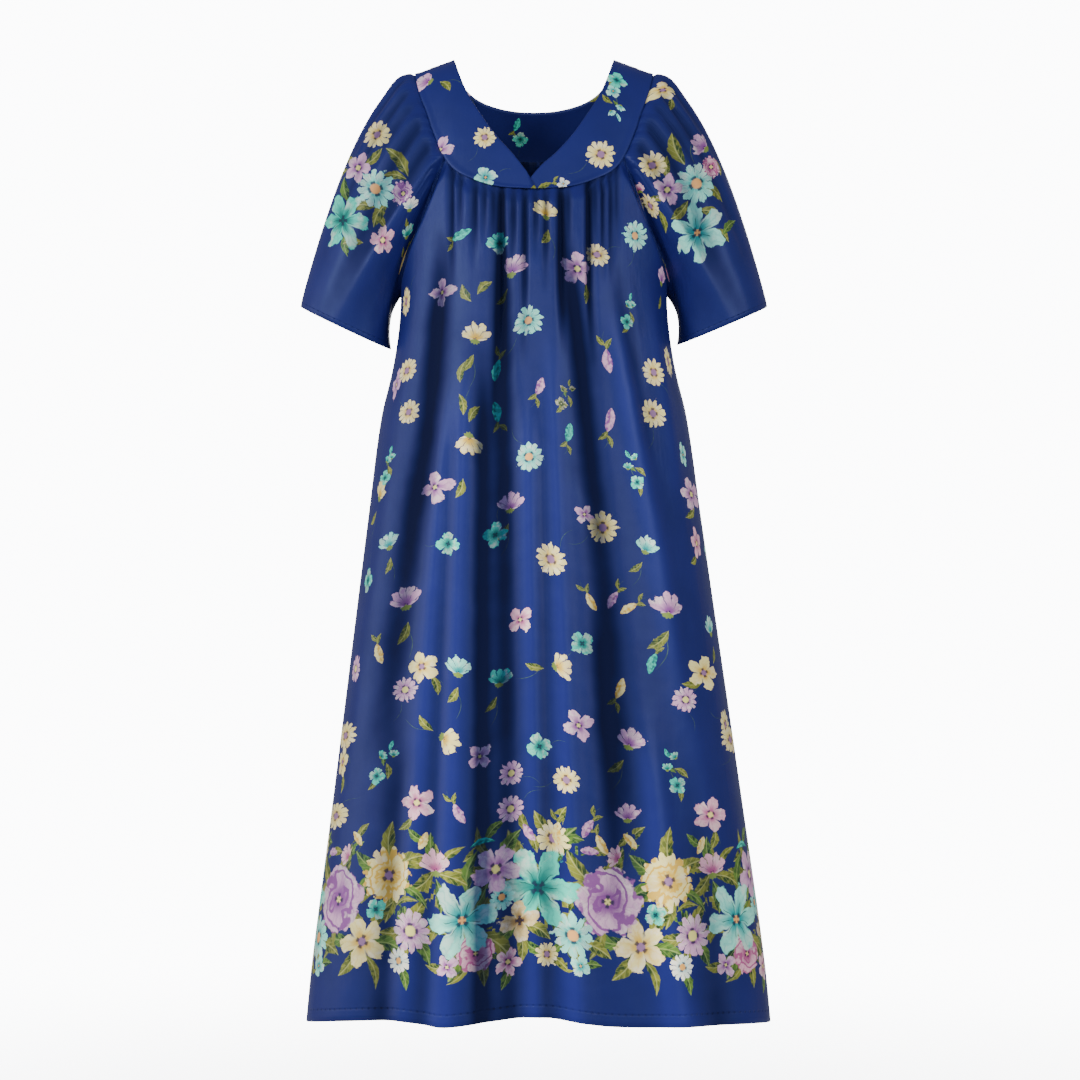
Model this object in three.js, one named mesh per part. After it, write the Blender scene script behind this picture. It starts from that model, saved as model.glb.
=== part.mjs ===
// A long, loose house dress with a round yoke, filled out as if it were worn, with nobody in it.
// X runs to the wearer's left, Y to the back and Z up, in millimetres. The origin lies halfway
// between the two points where the neckline meets the shoulder seams.
import * as THREE from "three";

const { clamp, degToRad, lerp, smoothstep } = THREE.MathUtils;
const FRONT = -1;
const BACK = 1;

// Cloth and seams
const CLOTH_WALL = 1.4;
const YOKE_WALL = 1.6;
const FACING_WALL = 1.2;
const HEM_WALL = 2.4;
const SEAM_GAP = 0.4;
const LAP_GAP = 0.8;
const CROSSING_DEPTH = YOKE_WALL + LAP_GAP;
const CROSSING_FROM = 12;
const CROSSING_TO = 36;
const YOKE_LAP = 6;
const BODY_HEM_DEPTH = 16;
const UNDER_YOKE = -(YOKE_WALL + CLOTH_WALL) / 2 - LAP_GAP;

// The cut, as it stands on a general figure
const NECK_HALF = 108;
const SHOULDER_HALF = 160;
const SHOULDER_DROP = 19;
const SHOULDER_SLOPE = SHOULDER_DROP / (SHOULDER_HALF - NECK_HALF);
const SHOULDER_REACH = 175;
const SIDE_HEM_Z = -1294;
const FRONT_HEM_RISE = 18;
const BACK_HEM_RISE = 4;
const CENTRE_LEAN = 6;
const LEAN_FROM = 400;
const LEAN_TO = 1250;
const SECTION_ROUNDNESS = 0.92;

// Depth below the shoulder line: a parabola over the shoulders that turns into a straight hang
const HANG = {
  [FRONT]: { shoulderCurve: 54, start: 122, flare: 0.034 },
  [BACK]: { shoulderCurve: 52, start: 96, flare: 0.05 },
};
const HANG_BLEND = 8;

const table = (columns, ...rows) =>
  rows.map((row) => Object.fromEntries(columns.map((name, i) => [name, row[i]])));

const BODY_HALF_WIDTH = table(
  ["z", "half", "recess"],
  [0, 216, 0],
  [-135, 205, 0],
  [-230, 195, 4],
  [-308, 188, 12],
  [-350, 189, 15],
  [-405, 194, 9],
  [-480, 205, 0],
  [-610, 223, 0],
  [-810, 250, 0],
  [-1010, 277, 0],
  [-1210, 304, 0],
  [-1310, 314, 0],
);

const YOKE_EDGE = {
  [FRONT]: table(
    ["t", "x", "z"],
    [0, SHOULDER_HALF, -SHOULDER_DROP],
    [0.13, 152, -51],
    [0.25, 142, -78],
    [0.35, 135, -100],
    [0.53, 119, -138],
    [0.64, 105, -155],
    [0.74, 86, -166],
    [0.88, 46, -179],
    [1, 0, -182],
  ),
  [BACK]: table(
    ["t", "x", "z"],
    [0, SHOULDER_HALF, -SHOULDER_DROP],
    [0.12, 153, -47],
    [0.23, 145, -68],
    [0.34, 136, -88],
    [0.46, 122, -106],
    [0.58, 100, -121],
    [0.72, 68, -131],
    [0.86, 34, -135],
    [1, 0, -136],
  ),
};

const NECK_EDGE = {
  [FRONT]: table(
    ["t", "x", "z"],
    [0, NECK_HALF, 0],
    [0.13, 99, -27],
    [0.27, 88, -53],
    [0.4, 74, -76],
    [0.58, 53, -107],
    [0.74, 31, -132],
  ),
  [BACK]: table(
    ["t", "x", "z"],
    [0, NECK_HALF, 0],
    [0.17, 102, -21],
    [0.34, 90, -39],
    [0.52, 71, -52],
    [0.7, 47, -60],
    [0.86, 23, -64],
    [1, 0, -65],
  ),
};

// How each half of the front yoke ends at the centre, past or short of the middle line
const FRONT_END = {
  over: {
    neck: table(["t", "x", "z"], [0.88, 19, -147], [1, 9, -160]),
    edge: table(["t", "x", "z"], [1, -3, -182]),
  },
  under: {
    neck: table(["t", "x", "z"], [0.88, 11, -149], [1, -8, -171]),
    edge: table(["t", "x", "z"], [1, -12, -181.5]),
  },
};

// Where body and sleeve meet: the angle round the body, the height, and how deep the seam lies
const YOKE_CORNER_X = { [FRONT]: 121, [BACK]: 124 };
const RAGLAN_SEAM = {
  [FRONT]: table(
    ["q", "angle", "z", "valley"],
    [0, 0, 0, -UNDER_YOKE],
    [0.3, 45, -190, 9],
    [0.55, 55.5, -234, 13],
    [0.75, 66, -270, 12],
    [0.9, 78, -298, 7],
    [1, 90, -308, 0],
  ),
  [BACK]: table(
    ["q", "angle", "z", "valley"],
    [0, 0, 0, -UNDER_YOKE],
    [0.3, 46, -172, 8],
    [0.55, 56, -226, 11],
    [0.75, 66, -268, 10],
    [0.9, 78, -298, 6],
    [1, 90, -308, 0],
  ),
};
// The share of a half panel that hangs from the yoke; the rest starts on the raglan seam
const YOKE_SHARE = 0.62;
const CORNER_END = 1.08;

// How far down from its top edge the cloth stays tucked in, and over what run it then comes up
const YOKE_TUCK = YOKE_LAP + 1;
const CORNER_TUCK = 5;
const RAGLAN_TUCK = 2;
const RISE_RUN = 26;

// Gathers below the yoke: place on the seam, depth, width, and how far down each one runs
const GATHERS = {
  [FRONT]: table(
    ["x", "depth", "width", "reach"],
    [-113, 4, 4.5, 150],
    [-101, 3.5, 4.5, 90],
    [-80, 4, 5, 110],
    [-67, 3.5, 4.5, 80],
    [-55, 3.5, 4.5, 90],
    [-44, 7, 5.5, 300],
    [-27, 3.5, 4.5, 110],
    [-12, 4.5, 4.5, 220],
    [3, 3.5, 4.5, 90],
    [16, 4, 4.5, 130],
    [37, 7, 5.5, 210],
    [47, 3, 4, 90],
    [75, 7, 5, 240],
    [84, 3, 3.8, 100],
    [94, 4, 4, 130],
    [106, 3.5, 4.5, 140],
    [115, 3, 4, 110],
  ),
  [BACK]: table(
    ["x", "depth", "width", "reach"],
    [-114, 3.5, 4.5, 130],
    [-101, 5, 5, 300],
    [-86, 3.5, 4.5, 120],
    [-72, 6, 5, 380],
    [-60, 3.5, 4.5, 110],
    [-45, 5, 5, 240],
    [-31, 3, 4.5, 120],
    [-14, 6.5, 5.5, 360],
    [-1, 3, 4.5, 100],
    [13, 4, 4.5, 170],
    [29, 6.5, 5, 320],
    [42, 3, 4.5, 100],
    [57, 4.5, 5, 210],
    [71, 3.5, 4.5, 130],
    [85, 6, 5, 340],
    [98, 3.5, 4.5, 120],
    [112, 4, 4.5, 160],
  ),
};

// The long folds: each runs from its top to its end; a negative depth is a ridge
const FOLDS = {
  [FRONT]: table(
    ["topX", "topZ", "endX", "endZ", "topWidth", "endWidth", "topDepth", "endDepth"],
    [-119, -230, -141, -560, 13, 18, 8, 8],
    [-137, -470, -206, -950, 17, 24, 8, 4],
    [-43, -210, -30, -1400, 11, 24, 8, 5],
    [-67, -380, -70, -1400, 12, 16, 7, 8],
    [40, -222, 136, -1100, 11, 22, 9, 4],
    [80, -720, 112, -1150, 12, 16, 6, 4],
    [102, -250, 165, -600, 9, 11, 3, 2],
    [-105, -480, -155, -1400, 9, 11, 3, 3],
    [13, -430, 16, -1400, 10, 13, 2, 4],
    [-176, -860, -200, -1400, 22, 26, 4, 7],
    [178, -680, 258, -1400, 16, 22, 2, 4],
    [-110, -420, -190, -1400, 13, 17, -5, -7],
    [-90, -400, -126, -1400, 12, 18, -5, -8],
    [-9, -430, 0, -1400, 13, 16, -6, -6],
    [20, -360, 57, -1400, 12, 17, -5, -7],
    [98, -330, 232, -1060, 14, 20, -6, -4],
    [140, -860, 200, -1400, 16, 26, -5, -9],
    [146, -300, 195, -600, 11, 14, -3, -2],
  ),
  [BACK]: table(
    ["topX", "topZ", "endX", "endZ", "topWidth", "endWidth", "topDepth", "endDepth"],
    [-132, -240, -176, -840, 15, 22, 8, 4],
    [-72, -230, -84, -1140, 12, 22, 8, 6],
    [-14, -280, -18, -1400, 14, 32, 7, 13],
    [58, -330, 84, -1000, 13, 22, 8, 5],
    [120, -260, 164, -1400, 14, 26, 6, 10],
    [-110, -400, -150, -1400, 18, 30, -5, -8],
    [-42, -380, -52, -1400, 18, 30, -4, -8],
    [32, -360, 44, -1400, 18, 30, -4, -8],
    [100, -420, 116, -1400, 16, 28, -4, -8],
    [-170, -700, -214, -1400, 20, 28, 3, 9],
    [176, -560, 226, -1400, 18, 26, -4, -6],
  ),
};
const FOLD_FADE = 130;
const FOLD_RISE = 20;
const FOLDS_CLEAR_OF_SEAM = { from: 20, to: 90 };
const PUFF = 3;
const SEAM_EASE = 12;

// Gathers are partly closed at the yoke, and folds and gathers die out towards the side seams
const GATHER_CLOSED = 0.45;
const GATHER_OPEN_AT = 34;
const GATHER_FADE = { from: 0.35, to: 1.25 };
const CALM_FROM = 0.8;
const CALM_TO = 0.97;

// How fast the armhole's recess dies out away from the side, and the depth that turns the wall
const RECESS_REACH = 32;
const TURNING_DEPTH = 150;

const HEM_WAVE = table(
  ["x", "rise"],
  [-314, 0],
  [-191, 3],
  [-119, -5],
  [-4, 8],
  [90, -4],
  [181, -5],
  [320, 0],
);

// Sleeves: an opening in a sloping plane, a full crest and gathers along the yoke's side
const SLEEVE = {
  hemX: 253.5,
  hemDepth: 62,
  frontDrop: 4,
  crestPuff: 31,
  headPuff: 5,
  headPlace: 0.05,
  sidePuff: 8,
  underarmTuck: 9,
  tuckShare: 0.12,
  raglanShare: 0.3,
  cornerRun: 0.0125,
  lapTurn: 1.5,
  seamStrip: 7,
  sideways: 0.8,
  hemSpread: 0.03,
  yokeSpread: 1.7,
  seamClear: CLOTH_WALL + 3 * SEAM_GAP,
  clearFrom: 0.25,
  clearTo: 0.6,
  gatherRise: 0.06,
  gatherFadeFrom: 0.3,
  gatherFadeTo: 1.3,
  underarmHaste: 0.6,
  swellPower: 0.85,
};
const SLEEVE_HEM = {
  right: { side: -1, hemZ: -360.5, hemHalf: 67, slope: degToRad(25.2) },
  left: { side: 1, hemZ: -357.5, hemHalf: 65.6, slope: degToRad(22.9) },
};
const SLEEVE_GATHERS = table(
  ["place", "depth", "width", "reach", "drift"],
  [0.325, 6, 0.012, 0.9, 0.05],
  [0.362, 6, 0.012, 0.95, 0.06],
  [0.398, 4, 0.012, 0.5, 0.03],
  [0.432, 5, 0.012, 0.7, 0.03],
  [0.466, 4, 0.011, 0.4, 0.01],
  [0.534, 4, 0.011, 0.4, -0.01],
  [0.569, 5, 0.012, 0.6, -0.02],
  [0.604, 5, 0.012, 0.8, -0.04],
  [0.64, 4, 0.012, 0.5, -0.03],
  [0.675, 5, 0.012, 0.9, -0.05],
);

const GROUND_BLUE = 0x232d78;
const clothMaterial = () =>
  new THREE.MeshStandardMaterial({ color: GROUND_BLUE, roughness: 0.45, metalness: 0 });

// Reads one column of a table at any place along its key, as a smooth curve through the rows
function read(rows, key, column, place) {
  const sign = Math.sign(rows[1][key] - rows[0][key]);
  const last = rows.length - 1;
  let i = 0;
  while (i < last - 1 && sign * (place - rows[i + 1][key]) > 0) i += 1;
  const slope = (j) => {
    const before = rows[Math.max(j - 1, 0)];
    const after = rows[Math.min(j + 1, last)];
    return (after[column] - before[column]) / (after[key] - before[key]);
  };
  const span = rows[i + 1][key] - rows[i][key];
  const f = clamp((place - rows[i][key]) / span, 0, 1);
  const [start, end] = [rows[i][column], rows[i + 1][column]];
  return (
    start * (1 + 2 * f) * (1 - f) ** 2 +
    end * (3 - 2 * f) * f ** 2 +
    span * (slope(i) * f * (1 - f) ** 2 - slope(i + 1) * (1 - f) * f ** 2)
  );
}

// The form: how far a point of the cloth stands in front of or behind the middle
const softMin = (a, b, blend) => (a + b) / 2 - Math.hypot((a - b) / 2, blend / 2);
const halfWidth = (z) => read(BODY_HALF_WIDTH, "z", "half", z);
const lean = (z) => CENTRE_LEAN * smoothstep(-z, LEAN_FROM, LEAN_TO);

function formDepth(x, z, face) {
  const beyondNeck = clamp(Math.abs(x) - NECK_HALF, 0, SHOULDER_REACH - NECK_HALF);
  const below = Math.max(-SHOULDER_SLOPE * beyondNeck - z, 0);
  const { shoulderCurve, start, flare } = HANG[face];
  const hang = softMin(Math.sqrt(shoulderCurve * below), start + flare * below, HANG_BLEND);
  return Math.max(hang, 0);
}

function formPoint(x, z, face) {
  const across = Math.min(Math.abs(x) / halfWidth(z), 1);
  const round = (1 - across ** 2) ** (SECTION_ROUNDNESS / 2);
  return new THREE.Vector3(x, face * (formDepth(x, z, face) * round + SEAM_GAP / 2), z);
}

function formNormal(x, z, face) {
  const step = 0.4;
  const rise = (dx, dz) => formPoint(x + dx, z + dz, face).y - formPoint(x - dx, z - dz, face).y;
  const normal = new THREE.Vector3(-rise(step, 0), 2 * step, -rise(0, step));
  return normal.multiplyScalar(face).normalize();
}

// The share of the crossing at the centre front, where one half of the yoke lies under the other
const crossing = (x) => 1 - smoothstep(x, CROSSING_FROM, CROSSING_TO);

const onForm = (x, z, face, lift) =>
  formPoint(x, z, face).addScaledVector(formNormal(x, z, face), lift);

// A closed wall of cloth over rows of places; the next row may have half as many columns.
// The sense is 1 where columns crossed with rows give an outward direction, and -1 where inward.
function clothMesh(name, { rows, surface, wall, normalAt, sense = 1, closed = false }) {
  const step = 1e-3;
  const difference = (u, v, du, dv) => surface(u + du, v + dv).sub(surface(u - du, v - dv));
  const turned = (u, v) =>
    difference(u, v, step, 0).cross(difference(u, v, 0, step)).setLength(sense);
  const vertices = [];
  const faces = [];
  const layout = rows.map(({ us, v }) =>
    us.map((u) => {
      const middle = surface(u, v);
      const across = turned(u, v);
      const out = (normalAt && normalAt(u, v, across)) || across;
      const half = wall(u, v) / 2;
      vertices.push(middle.clone().addScaledVector(out, half));
      vertices.push(middle.clone().addScaledVector(out, -half));
      return vertices.length / 2 - 1;
    }),
  );
  const both = (a, b, c) => {
    faces.push(2 * a, 2 * b, 2 * c);
    faces.push(2 * a + 1, 2 * c + 1, 2 * b + 1);
  };
  const rim = (a, b) => {
    faces.push(2 * a, 2 * a + 1, 2 * b);
    faces.push(2 * b, 2 * a + 1, 2 * b + 1);
  };
  layout.slice(1).forEach((lower, r) => {
    const upper = layout[r];
    const cells = closed ? lower.length : lower.length - 1;
    const ratio = closed ? upper.length / cells : (upper.length - 1) / cells;
    for (let c = 0; c < cells; c += 1) {
      const [b0, b1] = [lower[c], lower[(c + 1) % lower.length]];
      const at = (k) => upper[(ratio * c + k) % upper.length];
      if (ratio === 2) {
        both(at(0), b0, at(1));
        both(at(1), b0, b1);
        both(at(1), b1, at(2));
      } else if (c % 2) {
        both(at(0), b0, b1);
        both(at(0), b1, at(1));
      } else {
        both(at(0), b0, at(1));
        both(at(1), b0, b1);
      }
    }
  });
  const edge = (line) => line.slice(1).forEach((b, i) => rim(line[i], b));
  const loop = (line) => (closed ? [...line, line[0]] : line);
  edge(loop(layout[0]).toReversed());
  edge(loop(layout.at(-1)));
  if (!closed) {
    edge(layout.map((row) => row[0]));
    edge(layout.map((row) => row.at(-1)).toReversed());
  }
  return solidMesh(name, vertices, faces);
}

function solidMesh(name, vertices, faces) {
  const volume = new THREE.Vector3();
  let total = 0;
  for (let i = 0; i < faces.length; i += 3) {
    const [a, b, c] = faces.slice(i, i + 3).map((n) => vertices[n]);
    total += a.dot(volume.crossVectors(b, c));
  }
  const geometry = new THREE.BufferGeometry().setFromPoints(vertices);
  geometry.setIndex(total < 0 ? faces.slice().reverse() : faces);
  geometry.computeVertexNormals();
  const mesh = new THREE.Mesh(geometry, clothMaterial());
  mesh.name = name;
  return mesh;
}

const steps = (count, shape = (f) => f) =>
  Array.from({ length: count + 1 }, (_, i) => shape(i / count));

// Yoke pieces, between the neckline and the yoke's outer edge
const yokeLine = (rows, t) => [read(rows, "t", "x", t), read(rows, "t", "z", t)];

function yokePlace(neck, edge, t, v) {
  const [neckX, neckZ] = yokeLine(neck, t);
  const [edgeX, edgeZ] = yokeLine(edge, t);
  return [lerp(neckX, edgeX, v), lerp(neckZ, edgeZ, v)];
}

const FACING_END = 0.88;
const YOKE_ROWS = [0, 0.3, 0.65, FACING_END, 1];
const shoulderEase = (f) => f ** 1.6;

// Front and back meet face to face at the shoulder seam, so there the wall stands in the seam's plane
function yokeNormal(x, z, face, onShoulder) {
  const normal = formNormal(x, z, face);
  return onShoulder ? normal.setY(0).normalize() : normal;
}

function frontYoke(name, side, end) {
  const neck = [...NECK_EDGE[FRONT], ...end.neck];
  const edge = [...YOKE_EDGE[FRONT].slice(0, -1), ...end.edge];
  const under = end === FRONT_END.under;
  const surface = (f, v) => {
    const t = shoulderEase(Math.max(f, 0));
    const [x, z] = yokePlace(neck, edge, t, v);
    const lift = under ? -CROSSING_DEPTH * crossing(x) : 0;
    const point = onForm(x, z, FRONT, lift);
    point.x *= side;
    return point;
  };
  const normalAt = (f, v) => {
    const [x, z] = yokePlace(neck, edge, shoulderEase(f), v);
    return yokeNormal(x, z, FRONT, f === 0).multiply(new THREE.Vector3(side, 1, 1));
  };
  const rows = YOKE_ROWS.map((v) => ({ v, us: steps(14) }));
  return clothMesh(name, { rows, surface, normalAt, wall: () => YOKE_WALL });
}

function backYoke(name, wall, lift, lastRow) {
  const place = (f, v) => {
    const [x, z] = yokePlace(NECK_EDGE[BACK], YOKE_EDGE[BACK], shoulderEase(1 - Math.abs(f)), v);
    return [Math.sign(f) * x, z];
  };
  const surface = (f, v) => onForm(...place(clamp(f, -1, 1), v), BACK, lift);
  const normalAt = (f, v) => yokeNormal(...place(f, v), BACK, Math.abs(f) === 1);
  const us = steps(26, (f) => 2 * f - 1);
  const rows = YOKE_ROWS.filter((v) => v <= lastRow).map((v) => ({ v, us }));
  return clothMesh(name, { rows, surface, normalAt, wall: () => wall });
}

// The yoke's outer edge at any distance from the middle, moved in towards the neck
function lapped(face, x, lap) {
  const rows = YOKE_EDGE[face];
  const edgeZ = (at) => read(rows, "x", "z", at);
  const step = 0.5;
  const slope = (edgeZ(Math.min(x + step, SHOULDER_HALF)) - edgeZ(Math.max(x - step, 0))) / (2 * step);
  const across = new THREE.Vector2(-slope, 1).normalize();
  const alongShoulder = new THREE.Vector2(-1, SHOULDER_SLOPE).normalize();
  across.lerp(alongShoulder, smoothstep(x, 135, SHOULDER_HALF)).normalize();
  return { x: x + lap * across.x, z: edgeZ(x) + lap * across.y };
}

const angleAt = (x, z) => Math.asin(clamp(x / halfWidth(z), -1, 1));

// A raglan seam place: angle and height, worked out from the yoke's corner down to the underarm
function raglanPlace(face, q) {
  const corner = lapped(face, YOKE_CORNER_X[face], YOKE_LAP);
  const first = {
    ...RAGLAN_SEAM[face][0],
    angle: THREE.MathUtils.radToDeg(angleAt(corner.x, corner.z)),
    z: corner.z,
  };
  const rows = [first, ...RAGLAN_SEAM[face].slice(1)];
  const column = (name) => read(rows, "q", name, q);
  return { angle: degToRad(column("angle")), z: column("z"), lift: -column("valley") };
}

function bodyPoint(face, angle, z, lift) {
  const half = halfWidth(z);
  const wide = half * Math.sin(angle);
  const round = Math.max(Math.cos(angle), 0) ** SECTION_ROUNDNESS;
  const deep = formDepth(wide, z, face) * round;
  const recess = read(BODY_HALF_WIDTH, "z", "recess", z) * Math.exp(-((deep / RECESS_REACH) ** 2));
  const turn = (face * Math.cos(angle) * half) / TURNING_DEPTH;
  const out = new THREE.Vector3(Math.sin(angle), turn, 0).normalize();
  const point = new THREE.Vector3(
    wide - Math.sign(angle) * recess + lean(z),
    face * (deep + SEAM_GAP / 2),
    z,
  );
  return point.addScaledVector(out, lift);
}

// A place on the raglan seam, stood back to one side of it by half the seam's gap
function raglanPoint(face, q, away) {
  const at = (place) => {
    const { angle, z, lift } = raglanPlace(face, place);
    return bodyPoint(face, angle, z, lift);
  };
  const { angle, z } = raglanPlace(face, q);
  const normal = formNormal(halfWidth(z) * Math.sin(angle), z, face);
  const step = 0.01;
  const along = at(Math.min(q + step, 1)).sub(at(Math.max(q - step, 0)));
  const across = along.cross(normal).normalize().multiplyScalar(-face * away);
  return { point: at(q).add(across), normal, across };
}

// One body panel: columns of cloth from the yoke or the raglan seam down to the hem
function panelTop(face, u) {
  const share = Math.abs(u) / YOKE_SHARE;
  if (share >= 1) return raglanPlace(face, (Math.abs(u) - YOKE_SHARE) / (1 - YOKE_SHARE));
  const { x, z } = lapped(face, share * YOKE_CORNER_X[face], YOKE_LAP);
  const deeper = face === FRONT ? CROSSING_DEPTH * crossing(x) : 0;
  return { angle: angleAt(x, z), z, lift: UNDER_YOKE - deeper };
}

function hemHeight(face, angle) {
  const rise = face === FRONT ? FRONT_HEM_RISE : BACK_HEM_RISE;
  const wave = read(HEM_WAVE, "x", "rise", halfWidth(SIDE_HEM_Z) * Math.sin(angle) * -face);
  return SIDE_HEM_Z + rise * Math.cos(angle) + wave;
}

function gatherDepth(face, u, distance) {
  const seamX = (u / YOKE_SHARE) * YOKE_CORNER_X[face];
  const opened = lerp(GATHER_CLOSED, 1, smoothstep(distance, YOKE_LAP, GATHER_OPEN_AT));
  return GATHERS[face].reduce((sum, { x, depth, width, reach }) => {
    const fade = 1 - smoothstep(distance, GATHER_FADE.from * reach, GATHER_FADE.to * reach);
    return sum + depth * opened * fade * Math.exp(-(((seamX - x) / width) ** 2));
  }, 0);
}

function foldDepth(face, x, z) {
  return FOLDS[face].reduce((sum, fold) => {
    const f = (z - fold.topZ) / (fold.endZ - fold.topZ);
    const run = clamp(f, 0, 1);
    const centre = lerp(fold.topX, fold.endX, f);
    const width = lerp(fold.topWidth, fold.endWidth, run);
    const fade =
      smoothstep(-z, -fold.topZ - FOLD_RISE, -fold.topZ + FOLD_FADE) *
      (1 - smoothstep(-z, -fold.endZ - FOLD_FADE, -fold.endZ + FOLD_FADE / 2));
    const depth = lerp(fold.topDepth, fold.endDepth, run) * fade;
    return sum + depth * Math.exp(-(((x - centre) / width) ** 2));
  }, 0);
}

const hemAngle = (u) => (u * Math.PI) / 2;
const panelLength = (face, u) => panelTop(face, u).z - hemHeight(face, hemAngle(u));

function panelPoint(face, u, distance) {
  const side = Math.sign(u) || 1;
  const top = panelTop(face, u);
  const fall = distance / (top.z - hemHeight(face, hemAngle(u)));
  const z = top.z - distance;
  const angle = lerp(side * top.angle, hemAngle(u), fall);
  const share = Math.abs(u) / YOKE_SHARE;
  const pastCorner = smoothstep(share, 1, CORNER_END);
  const tuck = lerp(YOKE_TUCK + CORNER_TUCK * smoothstep(share, 0.3, 1), RAGLAN_TUCK, pastCorner);
  const calm = 1 - smoothstep(Math.abs(u), CALM_FROM, CALM_TO);
  const puffed = lerp(top.lift, PUFF * calm, smoothstep(distance, tuck, tuck + RISE_RUN));
  const x = halfWidth(z) * Math.sin(angle);
  const clear = smoothstep(distance, FOLDS_CLEAR_OF_SEAM.from, FOLDS_CLEAR_OF_SEAM.to);
  const folds = foldDepth(face, x, z) * calm * clear;
  const point = bodyPoint(face, angle, z, puffed - folds - gatherDepth(face, u, distance));
  if (share <= 1 || distance > SEAM_EASE) return point;
  const q = (Math.abs(u) - YOKE_SHARE) / (1 - YOKE_SHARE);
  const { across } = raglanPoint(face, q, SEAM_GAP);
  const near = pastCorner * (1 - distance / SEAM_EASE);
  return point.addScaledVector(across.multiply(new THREE.Vector3(side, 1, 1)), near);
}

const RAGLAN_CELLS = 6;
const NEAR_ROWS = [0, 7, 14, 28, 54, 96, 155];
const FAR_ROWS = steps(9).slice(1, -1);

function bodyPanel(name, face) {
  const corner = YOKE_CORNER_X[face];
  const troughs = GATHERS[face].map(({ x }) => x);
  const ridges = troughs.slice(1).map((x, i) => (x + troughs[i]) / 2);
  const marks = [-corner, ...troughs, ...ridges, corner].sort((a, b) => a - b);
  const onYoke = marks.map((x) => (x / corner) * YOKE_SHARE);
  const onSide = steps(RAGLAN_CELLS / 2, (f) => lerp(YOKE_SHARE, 1, f)).slice(1);
  const coarse = [...onSide.map((u) => -u).reverse(), ...onYoke, ...onSide];
  const fine = coarse.flatMap((u, i) => (i ? [(coarse[i - 1] + u) / 2, u] : [u]));
  const lastNear = NEAR_ROWS.at(-1);
  const far = (f) => (u) => lerp(lastNear, panelLength(face, u) - BODY_HEM_DEPTH, f);
  const distances = [
    ...NEAR_ROWS.map((d) => ({ us: fine, at: () => d })),
    ...[...FAR_ROWS, 1].map((f) => ({ us: coarse, at: far(f) })),
    { us: coarse, at: (u) => panelLength(face, u) - BODY_HEM_DEPTH + 1, hem: true },
    { us: coarse, at: (u) => panelLength(face, u), hem: true },
  ];
  const surface = (u, v) => {
    const row = clamp(v, 0, distances.length - 1);
    const i = Math.min(Math.floor(row), distances.length - 2);
    const distance = lerp(distances[i].at(u), distances[i + 1].at(u), row - i);
    return panelPoint(face, clamp(u, -1, 1), distance);
  };
  const normalAt = (u, v) => {
    const { angle, z } = panelTop(face, u);
    if (Math.abs(u) > 1 - 1e-6) return new THREE.Vector3(Math.sign(u), 0, 0);
    if (v > 0) return null;
    return formNormal(Math.sign(u) * halfWidth(z) * Math.sin(angle), z, face);
  };
  const wall = (u, v) => (distances[Math.round(v)].hem ? HEM_WALL : CLOTH_WALL);
  const rows = distances.map(({ us }, v) => ({ us, v }));
  return clothMesh(name, { rows, surface, normalAt, wall, sense: face });
}

// A sleeve's ring: 0 at the underarm, then the front, 0.5 at the shoulder, then the back
function sleeveTop(place) {
  const turned = ((place % 1) + 1) % 1;
  const face = turned <= 0.5 ? FRONT : BACK;
  const around = face === FRONT ? turned : 1 - turned;
  const { raglanShare, lapTurn, seamClear, clearFrom, clearTo, yokeSpread } = SLEEVE;
  const q = Math.max(1 - around / raglanShare, 0);
  const { point, normal, across } = raglanPoint(face, q, -SEAM_GAP);
  across.setLength(Math.sin(Math.PI * q) + 1e-6);
  if (around <= raglanShare) {
    const beside = seamClear * smoothstep(q, clearFrom, clearTo);
    const flat = normal.clone().multiplyScalar(1 - smoothstep(q, 0.4, 0.8));
    return { seam: point.addScaledVector(normal, beside), pastCorner: 0, normal: flat, across };
  }
  const share = (0.5 - around) / (0.5 - raglanShare);
  const x = SHOULDER_HALF - (SHOULDER_HALF - YOKE_CORNER_X[face]) * share ** yokeSpread;
  const inner = lapped(face, x, YOKE_LAP);
  const outer = lapped(face, x, -lapTurn);
  const pastCorner = smoothstep(around, raglanShare, raglanShare + SLEEVE.cornerRun);
  return {
    seam: point.lerp(onForm(inner.x, inner.z, face, UNDER_YOKE), pastCorner),
    turn: onForm(outer.x, outer.z, face, UNDER_YOKE),
    pastCorner,
    normal: formNormal(inner.x, inner.z, face),
    across,
  };
}

function sleeveHem({ hemZ, hemHalf, slope }, place) {
  const turn = 2 * Math.PI * (place + SLEEVE.hemSpread * Math.sin(2 * Math.PI * place));
  const { hemX, hemDepth, frontDrop } = SLEEVE;
  const out = new THREE.Vector3(
    -Math.cos(turn) * Math.cos(slope),
    -Math.sin(turn),
    -Math.cos(turn) * Math.sin(slope),
  );
  const point = new THREE.Vector3(
    hemX + out.x * hemHalf,
    out.y * hemDepth,
    hemZ + out.z * hemHalf - frontDrop * Math.sin(turn),
  );
  return { point, out, crest: (1 - Math.cos(turn)) / 2, beside: Math.sin(turn) ** 2 };
}

function sleeveGather(place, along) {
  const { gatherRise, gatherFadeFrom, gatherFadeTo } = SLEEVE;
  return SLEEVE_GATHERS.reduce((sum, gather) => {
    const { reach } = gather;
    const fade = 1 - smoothstep(along, gatherFadeFrom * reach, gatherFadeTo * reach);
    const centre = gather.place - gather.drift * along;
    const off = (place - centre) / (gather.width * (1 + along));
    return sum + gather.depth * fade * smoothstep(along, 0, gatherRise) * Math.exp(-(off ** 2));
  }, 0);
}

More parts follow.
